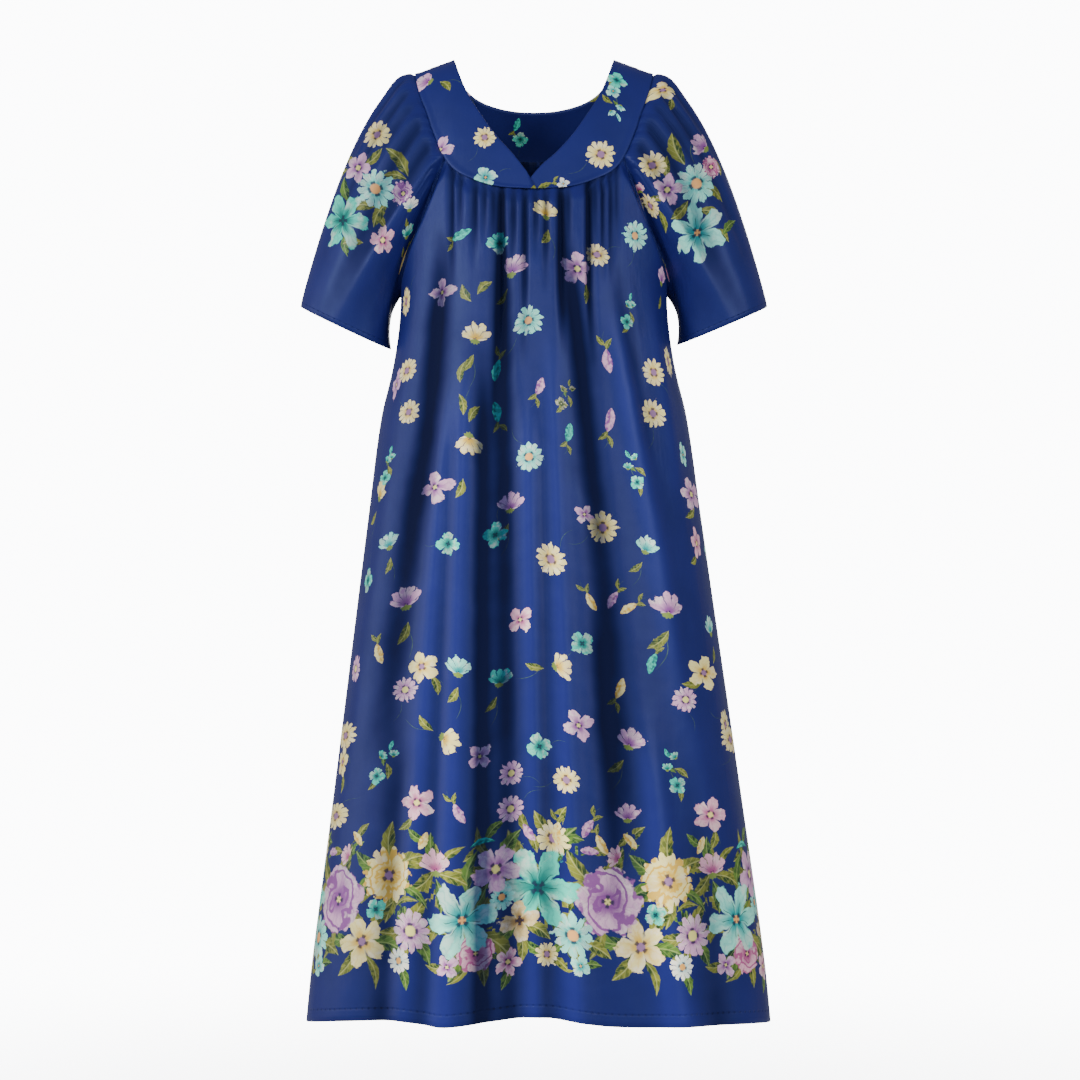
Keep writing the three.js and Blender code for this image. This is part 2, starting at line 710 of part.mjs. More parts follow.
function sleevePoint(opening, place, along) {
  const top = sleeveTop(place);
  const { point: hem, out, crest, beside } = sleeveHem(opening, place);
  const away = hem.clone().sub(top.seam).normalize().addScaledVector(top.across, SLEEVE.sideways);
  const turn = top.seam.clone().add(away.setLength(SLEEVE.seamStrip));
  if (top.turn) turn.lerp(top.turn, top.pastCorner);
  if (along <= 0) return top.seam.clone().lerp(turn, clamp(1 + along, 0, 1));
  const fromUnderarm = 0.5 - Math.abs(place - 0.5);
  const haste = lerp(1, SLEEVE.underarmHaste, smoothstep(fromUnderarm, 0, SLEEVE.tuckShare));
  const swell = Math.sin(Math.PI * along ** haste) ** SLEEVE.swellPower;
  const full = SLEEVE.crestPuff * crest ** 2 + SLEEVE.sidePuff * beside;
  const outward = smoothstep(fromUnderarm, SLEEVE.tuckShare, SLEEVE.raglanShare);
  const puff = lerp(-SLEEVE.underarmTuck, full, outward) * swell;
  const head = SLEEVE.headPuff * crest ** 4 * Math.exp(-((along / SLEEVE.headPlace - 1) ** 2));
  turn.lerp(hem, along).z += head;
  return turn.addScaledVector(out, puff - sleeveGather(place, along));
}

const SLEEVE_ROWS = [-1, 0, 0.045, 0.12, 0.25, 0.43, 0.67, 0.93, 0.94, 1];
const SLEEVE_HEM_START = 0.935;

function sleeve(name, opening) {
  const { raglanShare } = SLEEVE;
  const { side } = opening;
  const places = SLEEVE_GATHERS.map(({ place }) => place);
  const ridges = places.slice(1).map((place, i) => (place + places[i]) / 2);
  const marks = [raglanShare, ...places, ...ridges, 1 - raglanShare].sort((a, b) => a - b);
  const yokeSide = marks.flatMap((place, i) => (i ? [(marks[i - 1] + place) / 2, place] : [place]));
  const raglan = steps(RAGLAN_CELLS, (f) => raglanShare * f).slice(0, -1);
  const us = [...raglan, ...yokeSide, ...raglan.slice(1).map((place) => 1 - place).reverse()];
  const mirror = new THREE.Vector3(side, 1, 1);
  const surface = (place, along) =>
    sleevePoint(opening, place, Math.min(along, 1)).multiply(mirror);
  const normalAt = (place, along, across) => {
    const { pastCorner, normal } = sleeveTop(place);
    const ofForm = normal.clone().multiply(mirror);
    if (pastCorner === 1) return along <= 0 ? ofForm : null;
    return along < 0 ? ofForm.add(across).normalize() : null;
  };
  const wall = (place, along) => (along > SLEEVE_HEM_START ? HEM_WALL : CLOTH_WALL);
  const rows = SLEEVE_ROWS.map((v) => ({ v, us }));
  return clothMesh(name, { rows, surface, normalAt, wall, sense: -side, closed: true });
}

const dress = new THREE.Group();
dress.add(
  frontYoke("yoke_front_right", -1, FRONT_END.over),
  frontYoke("yoke_front_left", 1, FRONT_END.under),
  backYoke("yoke_back", YOKE_WALL, 0, 1),
  backYoke("yoke_back_facing", FACING_WALL, -(YOKE_WALL + FACING_WALL) / 2 - SEAM_GAP, FACING_END),
  bodyPanel("front_panel", FRONT),
  bodyPanel("back_panel", BACK),
  sleeve("sleeve_right", SLEEVE_HEM.right),
  sleeve("sleeve_left", SLEEVE_HEM.left),
);

export default dress;
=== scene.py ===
# %% [markdown]
# A long house dress in printed satin, filled out as if it were worn. Every panel of it is a thin sheet of
# cloth that hangs from a round yoke, so the whole dress can be made from a few smooth surfaces: one for
# each piece that a maker cuts. This file makes those sheets finely enough to show each gather, prints the
# flowers on them, and then lights the dress and sets a camera on it.

# %% Load the solid frame and keep its size
import math

import bpy
import numpy as np
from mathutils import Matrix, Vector


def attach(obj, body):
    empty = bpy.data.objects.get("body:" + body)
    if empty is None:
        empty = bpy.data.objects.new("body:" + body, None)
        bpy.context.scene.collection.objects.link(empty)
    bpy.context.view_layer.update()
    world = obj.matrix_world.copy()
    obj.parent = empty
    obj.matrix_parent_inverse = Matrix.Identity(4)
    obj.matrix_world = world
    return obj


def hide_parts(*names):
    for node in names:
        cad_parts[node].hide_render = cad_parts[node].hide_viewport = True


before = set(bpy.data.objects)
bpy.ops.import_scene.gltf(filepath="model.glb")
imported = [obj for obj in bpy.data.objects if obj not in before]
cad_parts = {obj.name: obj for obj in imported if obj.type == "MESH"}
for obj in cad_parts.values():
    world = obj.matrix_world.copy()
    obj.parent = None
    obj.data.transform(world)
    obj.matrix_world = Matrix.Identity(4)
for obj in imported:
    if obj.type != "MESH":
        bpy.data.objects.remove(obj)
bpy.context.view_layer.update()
MM = 0.001
FRONT, BACK = -1, 1
print("solids:", sorted(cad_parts))

# %% [markdown]
# Sizes come first. The dress is drawn from short tables, each row a place on the cloth, and a curve is
# passed through the rows. A cubic curve with the slopes taken from the neighbouring rows stays close to the
# rows and has no corners, which is how a maker would draw it with a French curve.

# %% Sizes of the cut, in millimetres
PANEL_CLOTH, YOKE_CLOTH, PANEL_SOLID, YOKE_SOLID = 0.9, 0.7, 1.4, 1.6
SEAM_GAP, LAP_GAP, YOKE_LAP = 0.02, 0.8, 6
UNDER_YOKE = -(YOKE_SOLID + PANEL_SOLID) / 2 - LAP_GAP
NECK_HALF, SHOULDER_HALF, SHOULDER_DROP, SHOULDER_REACH = 108, 160, 19, 175
SHOULDER_SLOPE = SHOULDER_DROP / (SHOULDER_HALF - NECK_HALF)
SIDE_HEM_Z, CENTRE_LEAN, SECTION_ROUNDNESS = -1294, 6, 0.92
LEAN_FROM, LEAN_TO, SHOULDER_FROM, SLOPE_STEP, NORMAL_STEP = 400, 1250, 135, 0.5, 0.4
HEM_RISE = {FRONT: 18, BACK: 4}
HANG = {FRONT: (54, 122, 0.034), BACK: (52, 96, 0.05)}
HANG_BLEND = 8
YOKE_SHARE, CORNER_END, PUFF, SEAM_EASE, FOLD_FADE = 0.62, 1.08, 4, 12, 130
YOKE_TUCK, CORNER_TUCK, RAGLAN_TUCK, RISE_RUN = 6, 5, 2, 20
GATHER_CLOSED, GATHER_OPEN_AT, GATHER_FULLNESS, GATHER_FADE = 0.5, 24, 1.45, (0.35, 1.25)
CALM_FROM, CALM_TO, FOLD_RISE, FOLDS_CLEAR_OF_SEAM, CORNER_FROM = 0.8, 0.97, 20, (20, 90), 0.3
RECESS_REACH, TURNING_DEPTH = 32, 150
CROSSING_FROM, CROSSING_TO, CROSSING_DEPTH = 12, 36, 2.4
YOKE_CORNER_X = {FRONT: 121, BACK: 124}
NECK_EASE = 12
RAGLAN_LIFT, RAGLAN_OVERLAP = 1.3, 2.4


def table(columns, text):
    """Named columns of a table, as arrays. Its rows are numbers, with a comma between rows."""
    rows = np.array([row.split() for row in text.split(",")], float)
    return dict(zip(columns.split(), rows.T))


BODY = table("z half recess", """
    0 216 0, -135 205 0, -230 195 4, -308 188 12, -350 189 15, -405 194 9, -480 205 0, -610 223 0,
    -810 250 0, -1010 277 0, -1210 304 0, -1310 314 0""")
YOKE_EDGE = {
    FRONT: table("t x z", """
        0 160 -19, 0.13 152 -51, 0.25 142 -78, 0.35 135 -100, 0.53 119 -138, 0.64 105 -155, 0.74 86 -166,
        0.88 46 -179, 1 0 -182"""),
    BACK: table("t x z", """
        0 160 -19, 0.12 153 -47, 0.23 145 -68, 0.34 136 -88, 0.46 122 -106, 0.58 100 -121, 0.72 68 -131,
        0.86 34 -135, 1 0 -136"""),
}
NECK_EDGE = {
    FRONT: table("t x z", "0 108 0, 0.13 99 -27, 0.27 88 -53, 0.4 74 -76, 0.58 53 -107, 0.74 31 -132"),
    BACK: table("t x z", """
        0 108 0, 0.17 102 -21, 0.34 90 -39, 0.52 71 -52, 0.7 47 -60, 0.86 23 -64, 1 0 -65"""),
}
FRONT_END = {
    "over": (table("t x z", "0.88 19 -147, 1 9 -160"), table("t x z", "1 -3 -182")),
    "under": (table("t x z", "0.88 11 -149, 1 -8 -171"), table("t x z", "1 -12 -181.5")),
}
RAGLAN_SEAM = {
    FRONT: table("q angle z valley", f"""
        0 0 0 {-UNDER_YOKE}, 0.3 45 -190 9, 0.55 55.5 -234 13, 0.75 66 -270 12, 0.9 78 -298 7,
        1 90 -308 0"""),
    BACK: table("q angle z valley", f"""
        0 0 0 {-UNDER_YOKE}, 0.3 46 -172 8, 0.55 56 -226 11, 0.75 66 -268 10, 0.9 78 -298 6,
        1 90 -308 0"""),
}
GATHERS = {
    FRONT: table("x depth width reach", """
        -113 4 4.5 150, -101 3.5 4.5 90, -80 4 5 110, -67 3.5 4.5 80, -55 3.5 4.5 90, -44 7 5.5 300,
        -27 3.5 4.5 110, -12 4.5 4.5 220, 3 3.5 4.5 90, 16 4 4.5 130, 37 7 5.5 210, 47 3 4 90, 75 7 5 240,
        84 3 3.8 100, 94 4 4 130, 106 3.5 4.5 140, 115 3 4 110"""),
    BACK: table("x depth width reach", """
        -114 3.5 4.5 130, -101 5 5 300, -86 3.5 4.5 120, -72 6 5 380, -60 3.5 4.5 110, -45 5 5 240,
        -31 3 4.5 120, -14 6.5 5.5 360, -1 3 4.5 100, 13 4 4.5 170, 29 6.5 5 320, 42 3 4.5 100,
        57 4.5 5 210, 71 3.5 4.5 130, 85 6 5 340, 98 3.5 4.5 120, 112 4 4.5 160"""),
}
FOLD_COLUMNS = "top_x top_z end_x end_z top_width end_width top_depth end_depth"
FOLDS = {
    FRONT: table(FOLD_COLUMNS, """
        -119 -230 -141 -560 13 18 8 8, -137 -470 -206 -950 17 24 8 4, -43 -210 -30 -1400 11 24 8 5,
        -67 -380 -70 -1400 12 16 7 8, 40 -222 136 -1100 11 22 9 4, 80 -720 112 -1150 12 16 6 4,
        102 -250 165 -600 9 11 3 2, -105 -480 -155 -1400 9 11 3 3, 13 -430 16 -1400 10 13 2 4,
        -176 -860 -200 -1400 22 26 4 7, 178 -680 258 -1400 16 22 2 4, -110 -420 -190 -1400 13 17 -5 -7,
        -90 -400 -126 -1400 12 18 -5 -8, -9 -430 0 -1400 13 16 -6 -6, 20 -360 57 -1400 12 17 -5 -7,
        98 -330 232 -1060 14 20 -6 -4, 140 -860 200 -1400 16 26 -5 -9, 146 -300 195 -600 11 14 -3 -2"""),
    BACK: table(FOLD_COLUMNS, """
        -132 -240 -176 -840 15 22 8 4, -72 -230 -84 -1140 12 22 8 6, -14 -280 -18 -1400 14 32 7 13,
        58 -330 84 -1000 13 22 8 5, 120 -260 164 -1400 14 26 6 10, -110 -400 -150 -1400 18 30 -5 -8,
        -42 -380 -52 -1400 18 30 -4 -8, 32 -360 44 -1400 18 30 -4 -8, 100 -420 116 -1400 16 28 -4 -8,
        -170 -700 -214 -1400 20 28 3 9, 176 -560 226 -1400 18 26 -4 -6"""),
}
HEM_WAVE = table("x rise", "-314 0, -191 3, -119 -5, -4 8, 90 -4, 181 -5, 320 0")
SLEEVE = {"hem_x": 253.5, "hem_depth": 62, "front_drop": 4, "crest_puff": 31, "head_puff": 5,
          "head_place": 0.05, "side_puff": 8, "underarm_tuck": 9, "tuck_share": 0.12, "raglan_share": 0.3,
          "corner_run": 0.0125, "lap_turn": 1.5, "seam_strip": 7, "sideways": 0.8, "hem_spread": 0.03,
          "overlap_at": (0.3, 0.45), "lift_at": (0.15, 0.35), "yoke_spread": 1.7, "gather_fade": (0.3, 1.3),
          "gather_rise": 0.06, "underarm_haste": 0.6, "swell_power": 0.85}
SLEEVE_HEM = {"right": {"side": -1, "z": -360.5, "half": 67, "slope": 25.2},
              "left": {"side": 1, "z": -357.5, "half": 65.6, "slope": 22.9}}
SLEEVE_GATHERS = table("place depth width reach drift", """
    0.325 6 0.012 0.9 0.05, 0.362 6 0.012 0.95 0.06, 0.398 4 0.012 0.5 0.03, 0.432 5 0.012 0.7 0.03,
    0.466 4 0.011 0.4 0.01, 0.534 4 0.011 0.4 -0.01, 0.569 5 0.012 0.6 -0.02, 0.604 5 0.012 0.8 -0.04,
    0.64 4 0.012 0.5 -0.03, 0.675 5 0.012 0.9 -0.05""")

# %% [markdown]
# Now the helpers that read a table as a smooth curve. They work on whole arrays of places at once, because
# a fine sheet has tens of thousands of points and a loop over them would be slow.

# %% Curves, blends and joined tables
def lerp(a, b, f):
    return a + (b - a) * f


def smoothstep(x, low, high):
    f = np.clip((x - low) / (high - low), 0, 1)
    return f * f * (3 - 2 * f)


def read(rows, key, column, place):
    """One column of a table as a smooth curve, read at any places along its key."""
    order = np.argsort(rows[key])
    keys, values = rows[key][order], rows[column][order]
    last = len(keys) - 1
    before, after = np.maximum(np.arange(last + 1) - 1, 0), np.minimum(np.arange(last + 1) + 1, last)
    slopes = (values[after] - values[before]) / (keys[after] - keys[before])
    place = np.clip(place, keys[0], keys[-1])
    i = np.clip(np.searchsorted(keys, place) - 1, 0, last - 1)
    span = keys[i + 1] - keys[i]
    f = (place - keys[i]) / span
    return (values[i] * (1 + 2 * f) * (1 - f) ** 2 + values[i + 1] * (3 - 2 * f) * f ** 2
            + span * (slopes[i] * f * (1 - f) ** 2 - slopes[i + 1] * (1 - f) * f ** 2))


def joined(first, second, drop_last=False):
    end = -1 if drop_last else None
    return {name: np.concatenate([first[name][:end], second[name]]) for name in first}


def points(x, y, z):
    return np.stack(np.broadcast_arrays(x, y, z), axis=-1).astype(float)


def unit(v):
    return v / np.maximum(np.linalg.norm(v, axis=-1, keepdims=True), 1e-9)


# %% [markdown]
# The form is what the cloth lies over: a parabola over the shoulders in the side view, which turns into a
# straight hang below, and a rounded section in the top view. Every piece is laid on it or a little off it.

# %% The form under the cloth
def half_width(z):
    return read(BODY, "z", "half", z)


def lean(z):
    return CENTRE_LEAN * smoothstep(-z, LEAN_FROM, LEAN_TO)


def form_depth(x, z, face):
    past_neck = np.minimum(np.abs(x), SHOULDER_REACH) - NECK_HALF
    beyond_neck = (past_neck + np.hypot(past_neck, NECK_EASE)) / 2
    below = np.maximum(-SHOULDER_SLOPE * beyond_neck - z, 0)
    curve, start, flare = HANG[face]
    round_part, straight = np.sqrt(curve * below), start + flare * below
    hang = (round_part + straight) / 2 - np.hypot((round_part - straight) / 2, HANG_BLEND / 2)
    return np.maximum(hang, 0)


def form_point(x, z, face):
    across = np.minimum(np.abs(x) / half_width(z), 1)
    depth = form_depth(x, z, face) * (1 - across ** 2) ** (SECTION_ROUNDNESS / 2)
    return points(x, face * (depth + SEAM_GAP / 2), z)


def form_normal(x, z, face):
    step = NORMAL_STEP
    rise_x = form_point(x + step, z, face)[..., 1] - form_point(x - step, z, face)[..., 1]
    rise_z = form_point(x, z + step, face)[..., 1] - form_point(x, z - step, face)[..., 1]
    return unit(points(-rise_x, 2 * step, -rise_z) * face)


def on_form(x, z, face, lift):
    return form_point(x, z, face) + form_normal(x, z, face) * np.asarray(lift)[..., None]


# %% [markdown]
# Body panels are sets of columns of cloth. Each column starts under the yoke or on the raglan seam, and
# falls to the hem while it spreads sideways. Gathers are troughs that follow the columns and fade on their
# way down; the long folds are troughs and ridges with a start, an end, a width and a depth of their own.

# %% Body panels
def lapped(face, x, lap):
    """The yoke's outer edge at a distance x from the middle, moved in towards the neck by lap."""
    rows, step = YOKE_EDGE[face], SLOPE_STEP
    high, low = np.minimum(x + step, SHOULDER_HALF), np.maximum(x - step, 0)
    slope = (read(rows, "x", "z", high) - read(rows, "x", "z", low)) / (2 * step)
    across = unit(np.stack([-slope, np.ones_like(slope)], axis=-1))
    shoulder = unit(np.array([-1, SHOULDER_SLOPE]))
    across = unit(lerp(across, shoulder, smoothstep(x, SHOULDER_FROM, SHOULDER_HALF)[..., None]))
    return x + lap * across[..., 0], read(rows, "x", "z", x) + lap * across[..., 1]


def raglan_place(face, q):
    corner_x, corner_z = lapped(face, np.array(float(YOKE_CORNER_X[face])), YOKE_LAP)
    rows = {name: column.copy() for name, column in RAGLAN_SEAM[face].items()}
    rows["angle"][0] = math.degrees(math.asin(corner_x / half_width(corner_z)))
    rows["z"][0] = corner_z
    angle = np.radians(read(rows, "q", "angle", q))
    return angle, read(rows, "q", "z", q), -read(rows, "q", "valley", q)


def body_point(face, angle, z, lift):
    half = half_width(z)
    wide = half * np.sin(angle)
    deep = form_depth(wide, z, face) * np.maximum(np.cos(angle), 0) ** SECTION_ROUNDNESS
    recess = read(BODY, "z", "recess", z) * np.exp(-(deep / RECESS_REACH) ** 2)
    out = unit(points(np.sin(angle), face * np.cos(angle) * half / TURNING_DEPTH, 0))
    place = points(wide - np.sign(angle) * recess + lean(z), face * (deep + SEAM_GAP / 2), z)
    return place + out * np.asarray(lift)[..., None]


def crossing(x):
    return 1 - smoothstep(x, CROSSING_FROM, CROSSING_TO)


def panel_top(face, u):
    share = np.abs(u) / YOKE_SHARE
    seam_angle, seam_z, seam_lift = raglan_place(face, (np.abs(u) - YOKE_SHARE) / (1 - YOKE_SHARE))
    seam_x = np.minimum(share, 1) * YOKE_CORNER_X[face]
    x, z = lapped(face, seam_x, YOKE_LAP)
    deeper = CROSSING_DEPTH * crossing(x) if face == FRONT else 0
    on_seam = share >= 1
    angle = np.where(on_seam, seam_angle, np.arcsin(np.clip(x / half_width(z), -1, 1)))
    return angle, np.where(on_seam, seam_z, z), np.where(on_seam, seam_lift, UNDER_YOKE - deeper)


def hem_height(face, angle):
    wave = read(HEM_WAVE, "x", "rise", half_width(SIDE_HEM_Z) * np.sin(angle) * -face)
    return SIDE_HEM_Z + HEM_RISE[face] * np.cos(angle) + wave


def hem_angle(u):
    return u * math.pi / 2


def panel_length(face, u):
    return panel_top(face, u)[1] - hem_height(face, hem_angle(u))


def gather_depth(face, u, distance):
    seam_x = u / YOKE_SHARE * YOKE_CORNER_X[face]
    opened = lerp(GATHER_CLOSED, 1, smoothstep(distance, YOKE_LAP, GATHER_OPEN_AT))
    total = np.zeros(np.broadcast(u, distance).shape)
    for x, depth, width, reach in zip(*GATHERS[face].values()):
        fade = 1 - smoothstep(distance, GATHER_FADE[0] * reach, GATHER_FADE[1] * reach)
        total += depth * opened * fade * np.exp(-((seam_x - x) / width) ** 2)
    return total * GATHER_FULLNESS


def fold_depth(face, x, z):
    total = np.zeros(np.broadcast(x, z).shape)
    for top_x, top_z, end_x, end_z, top_w, end_w, top_d, end_d in zip(*FOLDS[face].values()):
        f = (z - top_z) / (end_z - top_z)
        run = np.clip(f, 0, 1)
        fade = (smoothstep(-z, -top_z - FOLD_RISE, -top_z + FOLD_FADE)
                * (1 - smoothstep(-z, -end_z - FOLD_FADE, -end_z + FOLD_FADE / 2)))
        off = (x - lerp(top_x, end_x, f)) / lerp(top_w, end_w, run)
        total += lerp(top_d, end_d, run) * fade * np.exp(-off ** 2)
    return total


def raglan_across(face, q, away):
    """Across the raglan seam and away from it, the seam's own point, and the form's normal there."""
    at = lambda place: body_point(face, *raglan_place(face, place))
    angle, z, _ = raglan_place(face, q)
    normal = form_normal(half_width(z) * np.sin(angle), z, face)
    along = at(np.minimum(q + 0.01, 1)) - at(np.maximum(q - 0.01, 0))
    return unit(np.cross(along, normal)) * -face * away, at(q), normal


def panel_point(face, u, distance):
    side = np.where(u < 0, -1, 1)
    top_angle, top_z, top_lift = panel_top(face, u)
    fall = distance / (top_z - hem_height(face, hem_angle(u)))
    z = top_z - distance
    angle = lerp(side * top_angle, hem_angle(u), fall)
    share = np.abs(u) / YOKE_SHARE
    past_corner = smoothstep(share, 1, CORNER_END)
    tuck = lerp(YOKE_TUCK + CORNER_TUCK * smoothstep(share, CORNER_FROM, 1), RAGLAN_TUCK, past_corner)
    calm = 1 - smoothstep(np.abs(u), CALM_FROM, CALM_TO)
    puffed = lerp(top_lift, PUFF * calm, smoothstep(distance - tuck, 0, RISE_RUN))
    x = half_width(z) * np.sin(angle)
    folds = fold_depth(face, x, z) * calm * smoothstep(distance, *FOLDS_CLEAR_OF_SEAM)
    place = body_point(face, angle, z, puffed - folds - gather_depth(face, u, distance))
    q = np.clip((np.abs(u) - YOKE_SHARE) / (1 - YOKE_SHARE), 0, 1)
    across, _, _ = raglan_across(face, q, SEAM_GAP)
    near_seam = past_corner * np.clip(1 - distance / SEAM_EASE, 0, 1)
    return place + across * points(side, 1, 1) * near_seam[..., None]


# %% [markdown]
# A sleeve is a tube between two rings: the armhole, which runs up the raglan seam and round the yoke's
# side, and the sleeve's own hem. Straight lines between the rings would give a flat cone, so the crest is
# puffed outwards, most of all just below the shoulder.

# %% Sleeves
def sleeve_top(place):
    """Each column's start on its seam, its turn round the seam's edge, and its way across the seam."""
    turned = np.mod(place, 1)
    share_of_ring = SLEEVE["raglan_share"]
    halves = {}
    for face in (FRONT, BACK):
        around = turned if face == FRONT else 1 - turned
        q = np.clip(1 - around / share_of_ring, 0, 1)
        across, seam, normal = raglan_across(face, q, -1)
        raglan = seam - across * RAGLAN_OVERLAP * smoothstep(q, *SLEEVE["overlap_at"])[..., None]
        raglan = raglan + normal * RAGLAN_LIFT * smoothstep(q, *SLEEVE["lift_at"])[..., None]
        share = np.clip((0.5 - around) / (0.5 - share_of_ring), 0, 1)
        x = SHOULDER_HALF - (SHOULDER_HALF - YOKE_CORNER_X[face]) * share ** SLEEVE["yoke_spread"]
        past = smoothstep(around, share_of_ring, share_of_ring + SLEEVE["corner_run"])[..., None]
        start = lerp(raglan, on_form(*lapped(face, x, YOKE_LAP), face, UNDER_YOKE + 0 * x), past)
        turn = on_form(*lapped(face, x, -SLEEVE["lap_turn"]), face, UNDER_YOKE + 0 * x)
        halves[face] = (start, turn, past, unit(across) * np.sin(np.pi * q)[..., None])
    in_front = (turned <= 0.5)[..., None]
    return tuple(np.where(in_front, a, b) for a, b in zip(halves[FRONT], halves[BACK]))


def sleeve_hem(opening, place):
    turn = 2 * np.pi * (place + SLEEVE["hem_spread"] * np.sin(2 * np.pi * place))
    slope = math.radians(opening["slope"])
    out = points(-np.cos(turn) * math.cos(slope), -np.sin(turn), -np.cos(turn) * math.sin(slope))
    hem = points(SLEEVE["hem_x"] + out[..., 0] * opening["half"], out[..., 1] * SLEEVE["hem_depth"],
                 opening["z"] + out[..., 2] * opening["half"] - SLEEVE["front_drop"] * np.sin(turn))
    return hem, out, (1 - np.cos(turn)) / 2, np.sin(turn) ** 2


def sleeve_gather(place, along):
    total = np.zeros(np.broadcast(place, along).shape)
    fade_from, fade_to = SLEEVE["gather_fade"]
    for centre, depth, width, reach, drift in zip(*SLEEVE_GATHERS.values()):
        fade = 1 - smoothstep(along, fade_from * reach, fade_to * reach)
        off = (place - (centre - drift * along)) / (width * (1 + along))
        total += depth * fade * smoothstep(along, 0, SLEEVE["gather_rise"]) * np.exp(-off ** 2)
    return total


def sleeve_point(opening, place, along):
    start, yoke_turn, past, across = sleeve_top(place)
    hem, out, crest, beside = sleeve_hem(opening, place)
    away = unit(unit(hem - start) + across * SLEEVE["sideways"])
    turn = lerp(start + SLEEVE["seam_strip"] * away, yoke_turn, past)
    down = np.clip(along, 0, 1)
    from_underarm = 0.5 - np.abs(np.mod(place, 1) - 0.5)
    haste = lerp(1, SLEEVE["underarm_haste"], smoothstep(from_underarm, 0, SLEEVE["tuck_share"]))
    swell = np.maximum(np.sin(np.pi * down ** haste), 0) ** SLEEVE["swell_power"]
    full = SLEEVE["crest_puff"] * crest ** 2 + SLEEVE["side_puff"] * beside
    outward = smoothstep(from_underarm, SLEEVE["tuck_share"], SLEEVE["raglan_share"])
    puff = lerp(-SLEEVE["underarm_tuck"], full, outward) * swell - sleeve_gather(place, down)
    head = SLEEVE["head_puff"] * crest ** 4 * np.exp(-(down / SLEEVE["head_place"] - 1) ** 2) * (down > 0)
    below = lerp(turn, hem, down[..., None]) + out * puff[..., None] + points(0, 0, head)
    lap = lerp(start, turn, np.clip(1 + along, 0, 1)[..., None])
    return np.where((along <= 0)[..., None], lap, below) * points(opening["side"], 1, 1)


# %% [markdown]
# Before the cloth is made, here is how its print gets onto it. Every piece is cut from printed cloth, so
# the flowers must bend with the folds, which a pattern in space would not do. Each motif is therefore
# placed in the cloth's own flat coordinates, and each face of a sheet is told which motifs cross it and
# where it lies in each of them. A shader then draws the petals by formula, so they stay sharp however close
# the camera comes.

# %% Kinds of motif and their colours
KINDS = ["daisy", "blossom", "four_petal", "lily", "rose", "dahlia", "carnation", "clover",
         "leaf", "stem", "bud", "sprig"]
BLADES = KINDS.index("leaf")
# petals in 25ths, depth of the notches, pointedness and size of the centre, each 0 to 1
BLOOM_SHAPES = {
    "daisy": (0.48, 0.50, 0.10, 0.25), "blossom": (0.20, 0.56, 0.25, 0.17),
    "four_petal": (0.16, 0.66, 0.42, 0.13), "lily": (0.24, 0.60, 0.40, 0.10),
    "rose": (0.24, 0.13, 0.20, 0.10), "dahlia": (0.60, 0.24, 0.45, 0.16),
    "carnation": (0.44, 0.22, 0.30, 0.04), "clover": (0.16, 0.50, 0.15, 0.12),
}
# half width, bend, pointedness and vein, each 0 to 1
BLADE_SHAPES = {
    "leaf": (0.38, 0.20, 0.62, 1.0), "stem": (0.03, 0.34, 0.10, 0.0),
    "bud": (0.42, 0.08, 0.35, 0.4), "sprig": (0.24, 0.30, 0.55, 0.7),
}
# colours at the petals' tips and at their foot, and of the centre
TINTS = {
    "cream": ("faf0a8", "deb540", "9c76a4"), "white": ("f8f8f2", "94ccd8", "e0a658"),
    "lilac": ("dfb0dc", "8c4c9c", "ece68c"), "pink": ("f0b8d4", "b0548f", "f4e68c"),
    "aqua": ("98f6ea", "129aa2", "eeb06c"), "teal": ("4ce0cc", "047672", "064a50"),
    "tan": ("e4cc90", "977840", "40291a"), "olive": ("868c34", "2c4418", "c8cc84"),
    "green": ("5e8230", "183a20", "a8c070"),
}
TINT_NAMES = list(TINTS)
LAYERS, RAMP_ROOM, MOST_PETALS, SOFT_EDGE = 4, 16, 25, 0.045


def linear(hex_colour):
    """A colour as written for the screen, in the linear values that shaders use."""
    parts = [int(hex_colour[i:i + 2], 16) / 255 for i in (0, 2, 4)]
    return tuple(c / 12.92 if c <= 0.04045 else ((c + 0.055) / 1.055) ** 2.4 for c in parts)


# %% [markdown]
# The layout of the print comes next. The places are those of the flowers that show on the front, as they
# would be seen from straight ahead, and a spray is written as one row: its flower, its colour, its place,
# its size, and the way its stem points. A stem and up to two leaves are added to each by rule.

# %% Where the flowers of the body lie, seen from the front
PHOTO_MM, PHOTO_MIDDLE, PHOTO_SHOULDER = 1.3485, 534, 60
CAMERA_X, CAMERA_AWAY, CAMERA_Z = 8.1, 5000, -647
REACH_OF_PLACE, WIDEST, WIDEST_ON_SLEEVE, SIDE_INSET = 12, 2.2, 1.35, 0.05
# a place on the far side of a sleeve counts as this far away; widths are taken over this many columns
HIDDEN_AWAY, COLUMNS_BESIDE = 1000, 4
SPRAY = "kind tint px py size turn"


def sprays(text, columns=SPRAY):
    """Rows of words and numbers, with a comma between rows, each as a dictionary of its columns."""
    value = lambda word: float(word) if word.lstrip("-").isdigit() else word
    return [dict(zip(columns.split(), map(value, row.split()))) for row in text.split(",")]


